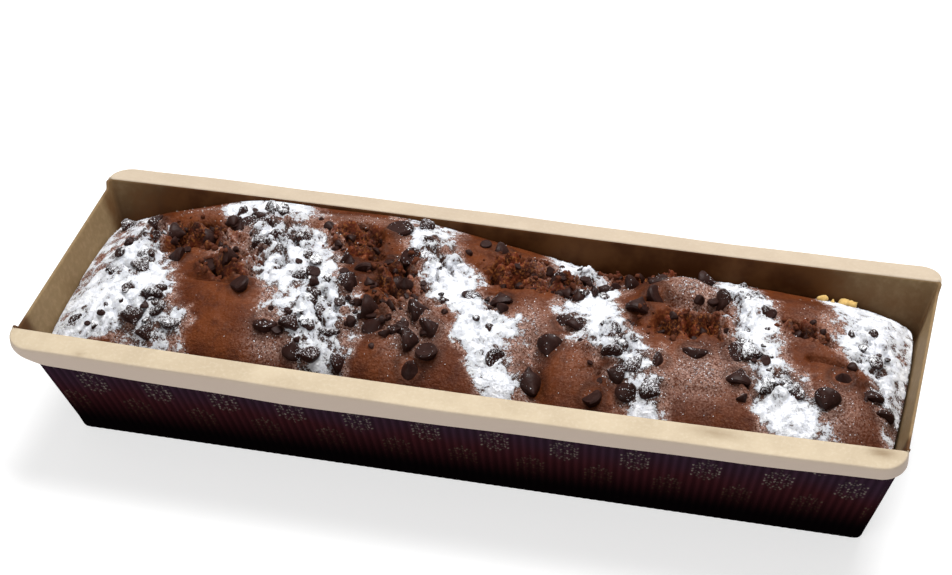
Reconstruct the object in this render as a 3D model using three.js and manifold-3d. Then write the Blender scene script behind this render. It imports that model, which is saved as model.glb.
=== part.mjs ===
// Chocolate chip loaf cake, baked and served in its corrugated paper mould.
//
// Millimetres, +Z up. +X runs along the loaf and the front long side faces -Y. The origin is on
// the table, below the middle of the whole. The cake is one solid that fills the mould: a domed
// crust with swells, folds, broken places and open crags, and the chocolate chips baked into it.
// The mould is one folded piece: ribbed flared walls, a flat base, and a rim folded out along both
// long sides.

import * as THREE from 'three';
import { mergeVertices } from 'three/addons/utils/BufferGeometryUtils.js';
import Module from 'manifold-3d';

// ---- Paper mould ----
const RIM_HEIGHT = 39.5;            // top of the folded rim above the table
const TOP_HALF = { x: 115, y: 35 }; // inner edge of the opening at the rim
const FOOT_HALF = { x: 104.9, y: 25 };  // outside of the base
const PAPER = 0.8;                  // thickness of the board between the ribs
const RIB_DEPTH = 0.45;             // how far a rib stands out of the board
const RIB_PITCH = 2.3;
const RIB_TOP = 37.4;               // the ribs end here, under the folded rim
const NECK = 0.7;                   // thickness of the smooth board above them
const CORNER_RADIUS = 0.8;          // inside the mould's corners
const CORNER_STEPS = 4;             // points on each rounded corner
const FRONT_BOW = 1.4;              // the long walls bulge outwards at mid-length
const BACK_BOW = 0.1;
const BACK_WAVE = 0.4;
const RIM_WIDTH = 7.1;              // folded-out rim on the long sides
const RIM_DROOP = 0.8;              // fall of the rim from its inner to its outer edge
const RIM_OVERHANG = 0.4;           // rim past the opening at each end
const RIM_STEPS = 28;
const LIP_DROP = 3.5;               // turned-down edge of the rim at its ends
const LIP_SAG = 1.25;               // extra depth of the lip at mid-length
const LIP_END = 0.25;               // share of the lip's depth that is left at its very ends,
const LIP_FRONT_RIGHT = 0.75;       // apart from the front rim's right end
const LIP_TAPER = 12;               // length of an end over which the lip gets deeper
const END_STEP = 1.8;               // end walls stop this far below the rim
const END_CUT = { x: 3, y: 1 };     // their cut: past the opening's end, short of the long walls
const INNER_STEPS = { x: 14, y: 4 };  // bends in the inside of each wall, so that it can bow
const PAST = 2;                     // a cutting solid passes this far beyond what it cuts

// ---- Cake ----
const GAP = 0.3;                    // between the cake's sides and the paper
const CAKE_RADIUS = 4;              // the cake's upright corners
const DOME_HALF = { x: 111.6, y: 33.2 };  // where the crust meets the paper
const DOME_POWER = 2.6;             // how flat the dome is across its middle
const DOME_ROUNDING = 0.75;         // how round its shoulders are
const END_POWER = 10;
const END_ROUNDING = 0.6;
const END_SWELL = 4;                // the ends are this much higher at their middle
const GRID = { x: 73, y: 25 };      // faces along and across the crust
const CRUST_MARGIN = 2.5;           // the crust is drawn this far past the paper, then cut
const HEADROOM = 20;                // and its solid may rise this far above the rim

// Heights above the table at stations along X: the crest, and the crust's edge on each long wall.
const CREST = [[-112, 33], [-96, 39], [-78, 42.5], [-50, 44], [-22, 43], [4, 41], [28, 39],
  [52, 40.5], [76, 39.5], [96, 37], [112, 31]];
const FRONT_EDGE = [[-112, 24.5], [-98, 29], [-70, 31.5], [0, 31.5], [70, 30.5], [98, 27.5],
  [112, 22.5]];
const BACK_EDGE = [[-112, 25], [-98, 31], [-84, 35.5], [-70, 38.5], [-50, 38.5], [-28, 38.5],
  [-8, 36], [6, 33.5], [30, 28.5], [54, 30.5], [86, 29.5], [100, 27], [112, 22.5]];

// Smooth swells of the skin: x, y, half-length, half-width, rise.
const SWELLS = [
  [-64, -17, 14, 12, 1.8], [-20, -26, 8, 6, 2.0], [14, -3, 7, 10, 1.8], [31, -17, 7, 12, 2.2],
  [60, -19, 13, 9, 1.8], [84, 14, 10, 9, 1.2], [97, -15, 8, 10, 1.8], [51, 17.5, 8, 4.5, 3.6],
  [-1, -8, 6, 9, 1.0], [-96, -14, 10, 10, 1.0],
];
// Folds of the skin: x, y of both ends, half-width, depth (below zero where it is a ridge).
const FOLDS = [
  [17, -12, 22, -30, 3.2, 3.4], [79, 9, 91, 5, 1.4, 2.8], [87, -2.5, 98, -2.5, 1.1, 2.0],
  [-77, -8, -64, -10, 0.9, 1.2], [-28, -20, -30, -30, 2.2, 2.2], [52, -23, 66, -22, 1.4, 0.9],
  [-92, 15, -73, 19, 1.8, 2.8], [43, 11.5, 60, 11, 1.5, 2.6], [-91, 20, -75, 27, 2.6, -1.6],
  [-87, 8, -76, 14.5, 2.3, -2.0], [-88, 3.5, -77, 9, 1.2, 1.6], [-43, 17, -36, 23, 1.8, -1.8],
  [-36, 23, -28, 20, 1.8, -1.5], [-6, 22, 12, 17, 1.6, -1.2], [107.5, 10, 108, -16, 1.6, -2.0],
];
// Open crags, where the crust tore and the crumb shows: x, y, half-length, half-width, depth.
const CRAGS = [
  [-81, 12, 12, 9, 1.4], [-67, -3, 8, 6, 0.8], [-37, 16, 9, 9, 2.4], [7, 15, 11, 9, 2.4],
  [21, 13, 6, 6, 1.0], [54, 3, 12, 8.5, 3.4], [83, 7, 7, 4, 1.4], [38, 24, 10, 4, 1.0],
  [-22, 1, 8, 10, 1.2],
];
const CRAG_EDGE = 1.1;              // a crag ends at this share of its half-lengths
const CRAG_SLOPE = 0.5;             // and reaches its depth this share further in
const CRAG_RAGGED = 0.3;            // unevenness of its border, as such a share
const RAGGED_SIZE = 5;
const CRAG_LUMP = 4.4;              // height of the clods in a crag
const LUMP_SIZE = 5.2;
// Broken crust round the crags: x, y, half-length, half-width, height of its lumps.
const BROKEN = [
  [-94, 8, 9, 19, 1.8], [-58, 8, 13, 22, 2.2], [-38, -14, 11, 14, 2.0], [-14, 12, 9, 16, 2.0],
  [3, -6, 8, 14, 1.4], [24, 16, 9, 12, 2.2], [38, -12, 10, 14, 1.8], [66, 8, 9, 16, 1.8],
  [78, -16, 9, 10, 1.6], [102, 4, 8, 20, 1.8], [-18, -8, 12, 18, 1.6], [-90, -22, 10, 8, 1.4],
];
const BROKEN_SIZE = 4.2;
const CLOD_TURN = { x: 0.8, y: 0.6 };
const FADE = { x: 24, y: 8 };       // powers by which the relief fades out towards the paper
const RAGGED_AT = 40;               // each noise is taken at its own place in the draws
const CRUMB_AT = 60;
const BROKEN_AT = 90;
const SKIN_WAVES = [[15, 0.9], [6.5, 0.4]]; // cell size and height of the skin's unevenness
const NOISE_SEED = 1297;

// ---- Chocolate chips ----
// Chips that show best: x, y, diameter, lean from tip up, heading of the tip (90 is the back).
const CHIPS = [
  [-91, -4, 6.2, 60, 60], [-99, -4.5, 5.4, 30, 200], [-101, 5.5, 4.8, 100, 190],
  [-83.5, -16, 6.0, 80, 95], [-80.5, -20.5, 5.2, 140, 0], [-76, -23.5, 6.8, 165, -90],
  [-86.5, -24, 5.6, 110, -60], [-82.5, -26.5, 5.8, 80, 200], [-104, -19.5, 5.2, 20, 0],
  [-95, 19, 5.4, 40, 30], [-86, 10, 5.6, 85, 0], [-77.5, 12.5, 6.6, 80, 10],
  [-72.5, -3, 6.8, 170, 0], [-67.5, -1, 6.2, 100, 20], [-66.5, -7, 6.0, 120, -80],
  [-60.5, -12, 5.8, 150, 0], [-63.5, 18, 6.0, 30, 0], [-69, 18.5, 5.8, 160, 0],
  [-62, 8.5, 5.8, 70, 140], [-56, 6.5, 5.4, 110, 10], [-51, -21.5, 6.8, 160, -90],
  [-44.5, -20.5, 6.4, 60, 70], [-42, -27, 6.0, 10, 0], [-34, -21.5, 6.0, 150, -90],
  [-37, -28.5, 5.8, 170, 0], [-30, -27.5, 6.4, 70, 30], [-37.5, 6, 5.8, 120, 0],
  [-33.5, -4.5, 6.4, 30, 20], [-31, 3, 6.0, 90, 100], [-25, -3, 6.6, 80, 80],
  [-25.5, -13.5, 7.0, 100, 10], [-22.5, -18.5, 6.8, 20, 0], [-17, -17, 6.8, 170, 0],
  [-13, -20.5, 6.6, 90, 20], [-9, -15.5, 6.8, 90, 45], [-11, -26.5, 7.4, 15, -90],
  [-7.5, -23.5, 6.0, 170, 0], [-27.5, 23.5, 7.0, 175, 0], [-25, 8.5, 5.8, 40, 0],
  [-20.5, 10, 5.8, 150, 60], [-22, 3.5, 6.2, 80, 10], [-17, 13.5, 6.0, 70, 20],
  [6, 0.5, 6.6, 70, 110], [9, -20.5, 6.2, 110, 150], [18, -21, 6.4, 30, 90],
  [19.5, -25, 7.6, 80, -60], [22, -13, 7.2, 95, -90], [23.5, -3.8, 6.0, 85, -90],
  [27, -4.7, 5.4, 60, 60], [37, -3.5, 5.8, 100, 0], [38, -9, 5.4, 40, 90],
  [38.6, -15.2, 6.0, 85, 95], [44.5, -16.5, 6.6, 30, 40], [50, -15, 6.0, 120, 0],
  [44.5, -24.5, 6.4, 20, 0], [50.5, -24, 6.4, 70, -30], [36, -27, 6.2, 160, 0],
  [41, 6, 6.4, 60, 80], [44, 12.5, 6.8, 130, 180], [58.5, -9.5, 7.6, 150, -90],
  [55.5, 23, 5.8, 80, 0], [62, 14, 6.8, 110, 20], [68.5, -7, 7.2, 150, 30],
  [72.5, -7, 6.6, 80, 0], [71, -16, 6.8, 60, 90], [82, -13, 5.8, 80, 90],
  [78, -17.5, 5.8, 110, 0], [85.5, -16, 5.6, 100, 0], [95.6, -8, 7.0, 10, -90],
  [93.3, -18, 7.0, 95, -90], [103.3, -9.5, 6.2, 70, 100], [107, -13.5, 5.6, 90, 90],
  [40.5, -20.5, 5.6, 60, 200], [36.7, 18.6, 6.2, 100, 20], [43.5, 19, 6.2, 60, 200],
  [-105.5, 24, 5.0, 50, 0], [-82.7, 0.6, 6.0, 90, 180], [0.3, 24.5, 6.6, 95, 0],
  [-20.8, 28, 5.2, 60, 0], [-13.2, -11.5, 6.6, 90, 30],
];
// Handfuls of further chips: x, y, half-length, half-width, how many.
const HANDFULS = [
  [-98, 10, 8, 14, 3], [-55, 12, 9, 17, 6], [-42, -8, 7, 9, 2], [-24, 16, 8, 11, 2],
  [-8, 10, 6, 14, 1], [22, 13, 7, 8, 3], [66, 18, 7, 8, 2], [101, 6, 5, 14, 1],
];
const CHIP_SEED = 4211;
const CHIP_SMALL = 3.8;             // diameters of the drawn chips
const CHIP_LARGE = 5.6;
const CHIP_SPACING = 0.75;          // closest approach of two chips, in diameters,
const CHIP_GAP = 1;                 // and this much more
const HANDFUL_SLANT = 0.4;          // a handful leans back to the left, as the sugar bands do
const CHIP_TRIES = 12;
const CHIP_SIDES = 6;
const CHIP_LIFTS = [0.1, -0.04, -0.16]; // a chip's middle above the crust by turns, in diameters
const CHIP_MARGIN = { x: 107, y: 29 };

// ---- Colours ----
const PAPER_LOOK = { color: 0xc9b48c, roughness: 0.8, metalness: 0 };
const CAKE_LOOK = { color: 0x6e3b26, roughness: 0.85, metalness: 0 };

const wasm = await Module();
wasm.setup();

// ---- Solids ----

// A closed geometry as a solid that can be joined and cut.
function solid(geometry) {
  const bare = geometry.clone();
  bare.deleteAttribute('normal');
  bare.deleteAttribute('uv');
  const merged = mergeVertices(bare, 1e-5);
  const mesh = new wasm.Mesh({
    numProp: 3,
    vertProperties: new Float32Array(merged.attributes.position.array),
    triVerts: new Uint32Array(merged.index.array),
  });
  mesh.merge();
  return new wasm.Manifold(mesh);
}

// The largest body alone: joining can leave scraps or seal small hollows.
function oneBody(manifold) {
  return manifold.decompose().reduce((a, b) => (b.volume() > a.volume() ? b : a));
}

function geometryOf(manifold) {
  const mesh = manifold.getMesh();
  const geometry = new THREE.BufferGeometry();
  geometry.setAttribute('position', new THREE.BufferAttribute(mesh.vertProperties, 3));
  geometry.setIndex(new THREE.BufferAttribute(mesh.triVerts, 1));
  geometry.computeVertexNormals();
  return geometry;
}

// Moves every vertex of a geometry by a function of its place.
function warp(geometry, move) {
  const place = geometry.attributes.position;
  const point = new THREE.Vector3();
  for (let i = 0; i < place.count; i += 1) {
    point.fromBufferAttribute(place, i);
    move(point);
    place.setXYZ(i, point.x, point.y, point.z);
  }
  return geometry;
}

// ---- Curves and seeded draws ----

// Park and Miller's generator: the same draws on every run.
function makeRandom(seed) {
  let state = seed;
  return () => {
    state = (state * 48271) % 2147483647;
    return state / 2147483647;
  };
}

// A smooth curve through [x, height] stations.
function along(stations, x) {
  const last = stations.length - 1;
  const at = Math.min(Math.max(x, stations[0][0]), stations[last][0]);
  let i = 0;
  while (i < last - 1 && stations[i + 1][0] <= at) {
    i += 1;
  }
  const slope = (k) => {
    const before = stations[Math.max(k - 1, 0)];
    const after = stations[Math.min(k + 1, last)];
    return (after[1] - before[1]) / (after[0] - before[0]);
  };
  const [x0, h0] = stations[i];
  const [x1, h1] = stations[i + 1];
  const w = x1 - x0;
  const t = (at - x0) / w;
  const t2 = t * t;
  const t3 = t2 * t;
  return (2 * t3 - 3 * t2 + 1) * h0 + (t3 - 2 * t2 + t) * w * slope(i)
    + (3 * t2 - 2 * t3) * h1 + (t3 - t2) * w * slope(i + 1);
}

function smooth(t) {
  const k = Math.min(Math.max(t, 0), 1);
  return k * k * (3 - 2 * k);
}

// Smooth noise from -1 to 1 on a square lattice of seeded draws.
const NOISE_SIZE = 128;
const noiseTable = (() => {
  const random = makeRandom(NOISE_SEED);
  return Array.from({ length: NOISE_SIZE * NOISE_SIZE }, () => 2 * random() - 1);
})();

function noise(x, y, cell) {
  const wrap = (k) => ((k % NOISE_SIZE) + NOISE_SIZE) % NOISE_SIZE;
  const value = (i, j) => noiseTable[wrap(i) * NOISE_SIZE + wrap(j)];
  const i = Math.floor(x / cell);
  const j = Math.floor(y / cell);
  const u = smooth(x / cell - i);
  const v = smooth(y / cell - j);
  const near = value(i, j) * (1 - u) + value(i + 1, j) * u;
  const far = value(i, j + 1) * (1 - u) + value(i + 1, j + 1) * u;
  return near * (1 - v) + far * v;
}

// Rounded lumps from -1 to 1, parted by narrow creases, on a lattice turned against the loaf.
function clods(x, y, cell) {
  const turned = noise(CLOD_TURN.x * x + CLOD_TURN.y * y, CLOD_TURN.x * y - CLOD_TURN.y * x, cell);
  return 2 * Math.sqrt(Math.abs(turned)) - 1;
}

// ---- Crust ----

// The plain dome, before its relief.
function dome(x, y) {
  const u = Math.min(Math.abs(x) / DOME_HALF.x, 1);
  const v = Math.min(Math.abs(y) / DOME_HALF.y, 1);
  const edge = along(y < 0 ? FRONT_EDGE : BACK_EDGE, x);
  const across = (1 - v ** DOME_POWER) ** DOME_ROUNDING;
  const lengthwise = (1 - u ** END_POWER) ** END_ROUNDING;
  return edge + across * (END_SWELL + (along(CREST, x) - edge - END_SWELL) * lengthwise);
}

// How deep in a crag a point is, from 0 outside to 1 in its middle. The border is ragged.
function inCrag(x, y, [cx, cy, a, b]) {
  const ragged = CRAG_RAGGED * noise(x + RAGGED_AT, y, RAGGED_SIZE);
  return smooth((CRAG_EDGE - Math.hypot((x - cx) / a, (y - cy) / b) - ragged) / CRAG_SLOPE);
}

function inFold(x, y, [x0, y0, x1, y1, width]) {
  const length = Math.hypot(x1 - x0, y1 - y0);
  const t = ((x - x0) * (x1 - x0) + (y - y0) * (y1 - y0)) / (length * length);
  const k = Math.min(Math.max(t, 0), 1);
  const off = Math.hypot(x - x0 - k * (x1 - x0), y - y0 - k * (y1 - y0)) / width;
  return Math.exp(-off * off);
}

// Lumps of the open crumb and of the broken crust.
function lumps(x, y) {
  const open = Math.max(...CRAGS.map((crag) => inCrag(x, y, crag)));
  const broken = Math.max(...BROKEN.map(([cx, cy, a, b, height]) => (
    height * smooth(2 - 2 * Math.hypot((x - cx) / a, (y - cy) / b)))));
  return open * CRAG_LUMP * clods(x, y + CRUMB_AT, LUMP_SIZE)
    + broken * clods(x + BROKEN_AT, y, BROKEN_SIZE);
}

function relief(x, y) {
  let rise = lumps(x, y);
  for (const [cell, height] of SKIN_WAVES) {
    rise += height * noise(x, y, cell);
  }
  for (const [cx, cy, a, b, height] of SWELLS) {
    rise += height * Math.exp(-(((x - cx) / a) ** 2) - ((y - cy) / b) ** 2);
  }
  for (const fold of FOLDS) {
    rise -= fold[5] * inFold(x, y, fold);
  }
  for (const crag of CRAGS) {
    rise -= crag[4] * inCrag(x, y, crag);
  }
  return rise;
}

// Relief fades out towards the paper.
function crust(x, y) {
  const u = Math.abs(x) / DOME_HALF.x;
  const v = Math.abs(y) / DOME_HALF.y;
  const fade = Math.max(1 - Math.max(u ** FADE.x, v ** FADE.y), 0);
  return dome(x, y) + fade * relief(x, y);
}

// ---- Flared walls ----

// Outward bulge of a long wall at the rim.
function bow(x, y) {
  const s = x / TOP_HALF.x;
  if (y < 0) {
    return -FRONT_BOW * (1 - s * s);
  }
  return BACK_BOW * (1 - s * s) - BACK_WAVE * Math.sin(Math.PI * s);
}

// Half of the outline at a height, on the inner face of the board.
function innerHalf(z) {
  const t = z / RIM_HEIGHT;
  const skin = PAPER + RIB_DEPTH;
  const x = FOOT_HALF.x - skin + (TOP_HALF.x - FOOT_HALF.x + skin) * t;
  const y = FOOT_HALF.y - skin + (TOP_HALF.y - FOOT_HALF.y + skin) * t;
  return { x, y };
}

// Points of a rounded rectangle, anticlockwise, with `ribs` waves on each straight side.
function outline(half, radius, ribs, depth) {
  const points = [];
  const corners = [[1, -1], [1, 1], [-1, 1], [-1, -1]];
  corners.forEach(([sx, sy], k) => {
    const centre = new THREE.Vector2(sx * (half.x - radius), sy * (half.y - radius));
    for (let i = 0; i <= CORNER_STEPS; i += 1) {
      const angle = (k - 1 + i / CORNER_STEPS) * (Math.PI / 2);
      const arm = new THREE.Vector2(Math.cos(angle), Math.sin(angle)).multiplyScalar(radius);
      points.push(centre.clone().add(arm));
    }
    const count = 2 * (k % 2 === 0 ? ribs.y : ribs.x);
    const [nx, ny] = corners[(k + 1) % 4];
    const from = points[points.length - 1];
    const out = new THREE.Vector2(Math.cos((k * Math.PI) / 2), Math.sin((k * Math.PI) / 2));
    const to = new THREE.Vector2(nx * (half.x - radius), ny * (half.y - radius));
    to.addScaledVector(out, radius);
    for (let i = 1; i < count; i += 1) {
      const point = from.clone().lerp(to, i / count);
      points.push(point.addScaledVector(out, i % 2 ? depth : 0));
    }
  });
  return points;
}

// A closed solid through rings of equally many points, lowest first.
function loft(rings) {
  const count = rings[0].points.length;
  const vertices = [];
  for (const ring of rings) {
    for (const point of ring.points) {
      vertices.push(point.x, point.y + bow(point.x, point.y) * (ring.z / RIM_HEIGHT), ring.z);
    }
  }
  const faces = [];
  for (let r = 0; r + 1 < rings.length; r += 1) {
    for (let i = 0; i < count; i += 1) {
      const a = r * count + i;
      const b = r * count + ((i + 1) % count);
      faces.push(a, b, b + count, a, b + count, a + count);
    }
  }
  const base = THREE.ShapeUtils.triangulateShape(rings[0].points, []);
  const top = (rings.length - 1) * count;
  for (const [a, b, c] of base) {
    faces.push(c, b, a);
    faces.push(top + a, top + b, top + c);
  }
  const geometry = new THREE.BufferGeometry();
  geometry.setAttribute('position', new THREE.Float32BufferAttribute(vertices, 3));
  geometry.setIndex(faces);
  return geometry;
}

// The room inside the walls between two heights, drawn in from the paper by `inset`.
function room(z0, z1, inset, radius = CORNER_RADIUS) {
  const ringAt = (z) => {
    const half = innerHalf(z);
    const drawn = { x: half.x - inset, y: half.y - inset };
    return { z, points: outline(drawn, radius, INNER_STEPS, 0) };
  };
  return solid(loft([ringAt(z0), ringAt(z1)]));
}

// ---- Mould ----

// The walls and base as a solid block: ribs up to just below the rim, and a smooth neck that
// ends inside the paper of the rim.
function ribbedTub() {
  const ribs = {
    x: Math.round((TOP_HALF.x + FOOT_HALF.x) / RIB_PITCH),
    y: Math.round((TOP_HALF.y + FOOT_HALF.y) / RIB_PITCH),
  };
  const ringAt = (z) => {
    const half = innerHalf(z);
    const outer = { x: half.x + PAPER, y: half.y + PAPER };
    return { z, points: outline(outer, CORNER_RADIUS + PAPER, ribs, RIB_DEPTH) };
  };
  const ribbed = solid(loft([ringAt(0), ringAt(RIB_TOP)]));
  return ribbed.add(room(PAPER, RIM_HEIGHT - PAPER / 2, -NECK));
}

// Plan of one rim flap, inset on its three free edges. `side` is -1 at the front, 1 at the back.
function flapPlan(side, inset) {
  const reach = TOP_HALF.x + RIM_OVERHANG - inset;
  const inner = TOP_HALF.y - PAPER / 2 - inset;
  const outer = TOP_HALF.y + RIM_WIDTH - inset;
  const radius = RIM_WIDTH - 1 - inset;
  const plan = [];
  for (let i = 0; i <= RIM_STEPS; i += 1) {
    plan.push([-reach + (2 * reach * i) / RIM_STEPS, inner]);
  }
  for (const end of [1, -1]) {
    for (let i = 0; i <= 2 * CORNER_STEPS; i += 1) {
      const turn = (i / (2 * CORNER_STEPS)) * (Math.PI / 2);
      const angle = end > 0 ? turn : Math.PI / 2 - turn;
      plan.push([
        end * (reach - radius + radius * Math.cos(angle)),
        outer - radius + radius * Math.sin(angle),
      ]);
    }
    if (end > 0) {
      for (let i = 1; i < RIM_STEPS; i += 1) {
        plan.push([(reach - radius) * (1 - (2 * i) / RIM_STEPS), outer]);
      }
    }
  }
  return new THREE.Shape(plan.map(([x, y]) => new THREE.Vector2(x, side * y)));
}

// A rim flap with its turned-down lip, first flat and straight and then bowed and drooping.
function flap(side) {
  const slab = (inset, z0, z1) => {
    const shape = flapPlan(side, inset);
    const geometry = new THREE.ExtrudeGeometry(shape, { depth: z1 - z0, bevelEnabled: false });
    geometry.translate(0, 0, z0);
    return solid(geometry);
  };
  const plateBottom = RIM_HEIGHT - PAPER;
  const lipBottom = plateBottom - LIP_DROP;
  const flat = slab(0, lipBottom, RIM_HEIGHT).subtract(slab(PAPER, lipBottom - PAST, plateBottom));
  return solid(warp(geometryOf(flat), (p) => {
    const s = p.x / TOP_HALF.x;
    const out = (Math.abs(p.y) - TOP_HALF.y) / RIM_WIDTH;
    const low = Math.max((plateBottom - p.z) / LIP_DROP, 0);
    p.y += bow(p.x, p.y);
    p.z -= RIM_DROOP * out + low * LIP_SAG * Math.max(1 - s * s, 0);
    const end = p.x > 0 && side < 0 ? LIP_FRONT_RIGHT : LIP_END;
    const inwards = smooth((TOP_HALF.x + RIM_OVERHANG - Math.abs(p.x)) / LIP_TAPER);
    p.z += low * LIP_DROP * (1 - end) * (1 - inwards);
  }));
}

function block(x0, x1, y0, y1, z0, z1) {
  const geometry = new THREE.BoxGeometry(x1 - x0, y1 - y0, z1 - z0);
  geometry.translate((x0 + x1) / 2, (y0 + y1) / 2, (z0 + z1) / 2);
  return solid(geometry);
}

function makeMould() {
  const cavity = room(PAPER, RIM_HEIGHT + PAST, 0);
  let body = ribbedTub().add(flap(-1)).add(flap(1)).subtract(cavity);
  const across = TOP_HALF.y - END_CUT.y;
  for (const end of [-TOP_HALF.x, TOP_HALF.x]) {
    const cut = block(end - END_CUT.x, end + END_CUT.x, -across, across,
      RIM_HEIGHT - END_STEP, RIM_HEIGHT + PAST);
    body = body.subtract(cut);
  }
  return body;
}

// ---- Cake ----

// A block whose top is the crust, larger than the mould all round.
function crustBlock() {
  const size = { x: 2 * (DOME_HALF.x + CRUST_MARGIN), y: 2 * (DOME_HALF.y + CRUST_MARGIN) };
  const geometry = new THREE.BoxGeometry(size.x, size.y, 1, GRID.x, GRID.y, 1);
  warp(geometry, (p) => {
    p.z = p.z > 0 ? crust(p.x, p.y) : -PAST;
  });
  return solid(geometry);
}

// One chip: a drop with a flat round foot, its middle at the origin and its tip along +Z.
function chipShape(diameter) {
  const r = diameter / 2;
  const profile = [[0, -0.55], [1, -0.4], [0.68, 0.3], [0, 0.95]];
  const points = profile.map(([x, z]) => new THREE.Vector2(x * r, z * r));
  const geometry = new THREE.LatheGeometry(points, CHIP_SIDES);
  geometry.rotateX(Math.PI / 2);
  return geometry;
}

function placedChip([x, y, diameter, lean, heading], index) {
  const geometry = chipShape(diameter);
  geometry.rotateY(THREE.MathUtils.degToRad(lean));
  geometry.rotateZ(THREE.MathUtils.degToRad(heading));
  const lift = CHIP_LIFTS[index % CHIP_LIFTS.length] * diameter;
  geometry.translate(x, y, crust(x, y) + lift);
  return solid(geometry);
}

// The listed chips, and the handfuls drawn between them.
function allChips() {
  const random = makeRandom(CHIP_SEED);
  const chips = CHIPS.slice();
  const isFree = (x, y, d) => chips.every(
    (c) => Math.hypot(c[0] - x, c[1] - y) > CHIP_SPACING * (c[2] + d) / 2 + CHIP_GAP);
  for (const [cx, cy, a, b, count] of HANDFULS) {
    for (let n = 0; n < count; n += 1) {
      for (let attempt = 0; attempt < CHIP_TRIES; attempt += 1) {
        const turn = 2 * Math.PI * random();
        const reach = Math.sqrt(random());
        const y = cy + b * reach * Math.sin(turn);
        const x = cx + a * reach * Math.cos(turn) - HANDFUL_SLANT * (y - cy);
        const diameter = CHIP_SMALL + (CHIP_LARGE - CHIP_SMALL) * random();
        const lean = 180 * random();
        const heading = 360 * random();
        const inside = Math.abs(x) < CHIP_MARGIN.x && Math.abs(y) < CHIP_MARGIN.y;
        if (inside && isFree(x, y, diameter)) {
          chips.push([x, y, diameter, lean, heading]);
          break;
        }
      }
    }
  }
  return chips;
}

function makeCake() {
  const baked = crustBlock().intersect(room(PAPER + GAP, RIM_HEIGHT + HEADROOM, GAP, CAKE_RADIUS));
  return allChips().reduce((body, chip, index) => body.add(placedChip(chip, index)), baked);
}

// ---- Assembly ----

function piece(name, body, look) {
  const geometry = geometryOf(oneBody(body));
  const mesh = new THREE.Mesh(geometry, new THREE.MeshStandardMaterial(look));
  mesh.name = name;
  return mesh;
}

const loaf = new THREE.Group();
loaf.add(piece('tray', makeMould(), PAPER_LOOK));
loaf.add(piece('cake', makeCake(), CAKE_LOOK));
loaf.position.y = (FRONT_BOW - BACK_BOW) / 2;
export default loaf;
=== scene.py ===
import math

import bmesh
import bpy
import numpy as np
from mathutils import Matrix, Vector
from mathutils.bvhtree import BVHTree


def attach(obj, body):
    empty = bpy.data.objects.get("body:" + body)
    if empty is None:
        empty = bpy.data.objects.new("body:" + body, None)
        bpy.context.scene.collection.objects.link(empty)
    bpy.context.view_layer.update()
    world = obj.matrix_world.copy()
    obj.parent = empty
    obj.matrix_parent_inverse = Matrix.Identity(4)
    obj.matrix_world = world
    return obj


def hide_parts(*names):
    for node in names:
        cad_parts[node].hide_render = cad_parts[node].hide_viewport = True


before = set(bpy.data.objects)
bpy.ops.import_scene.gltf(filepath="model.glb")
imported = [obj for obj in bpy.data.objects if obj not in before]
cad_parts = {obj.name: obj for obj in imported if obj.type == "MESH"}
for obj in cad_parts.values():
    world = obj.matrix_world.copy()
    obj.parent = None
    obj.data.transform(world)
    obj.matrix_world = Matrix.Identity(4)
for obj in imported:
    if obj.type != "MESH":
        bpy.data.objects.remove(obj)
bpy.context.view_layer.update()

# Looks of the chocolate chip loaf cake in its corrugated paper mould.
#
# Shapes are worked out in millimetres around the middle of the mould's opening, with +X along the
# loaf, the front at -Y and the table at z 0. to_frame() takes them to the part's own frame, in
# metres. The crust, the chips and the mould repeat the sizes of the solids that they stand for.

# ---- Camera ----
CAMERA_PLACE = (145.0, -530.6, 449.5)
CAMERA_AZIMUTH = 15.339
CAMERA_ELEVATION = 36.341
CAMERA_ROLL = -1.842
CAMERA_LENS = 100.1  # on a sensor 36 wide

# ---- Paper mould ----
RIM_HEIGHT = 39.5
TOP_HALF = (115.0, 35.0)
FOOT_HALF = (104.9, 25.0)
PAPER = 0.8
RIB_DEPTH = 0.45
RIB_PITCH = 2.3
CORNER_RADIUS = 0.8
FRONT_BOW = 1.4
BACK_BOW = 0.1
BACK_WAVE = 0.4
RIM_WIDTH = 7.1
RIM_DROOP = 0.8
RIM_OVERHANG = 0.4
LIP_DROP = 3.5
LIP_SAG = 1.25
LIP_END = 0.25
LIP_FRONT_RIGHT = 1.0
LIP_RISE = 1.0  # the front lip is this much shorter towards the right
LIP_RISE_FROM = -45.0
LIP_RISE_OVER = 60.0
LIP_TAPER = 12.0
END_STEP = 1.8  # the end walls are this much lower than the rims
FOLD = 0.5  # outer radius of the rim's fold
LIP_PAPER = 0.5
RIM_REACH = TOP_HALF[0] + RIM_OVERHANG
Y_SHIFT = (FRONT_BOW - BACK_BOW) / 2

# ---- Cake ----
GAP = 0.3
CAKE_RADIUS = 4.0
DOME_HALF = (111.6, 33.2)
DOME_POWER = 2.6
DOME_ROUNDING = 0.75
END_POWER = 10
END_ROUNDING = 0.6
END_SWELL = 4
END_FADE = 24
SIDE_FADE = 8
CREST = [[-112, 33], [-96, 39], [-78, 42.5], [-50, 44], [-22, 43], [4, 41], [28, 39],
         [52, 40.5], [76, 39.5], [96, 37], [112, 31]]
FRONT_EDGE = [[-112, 24.5], [-98, 29], [-70, 31.5], [0, 31.5], [70, 30.5], [98, 27.5],
              [112, 22.5]]
BACK_EDGE = [[-112, 25], [-98, 31], [-84, 35.5], [-70, 38.5], [-50, 38.5], [-28, 38.5],
             [-8, 36], [6, 33.5], [30, 28.5], [54, 30.5], [86, 29.5], [100, 27], [112, 22.5]]
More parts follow.
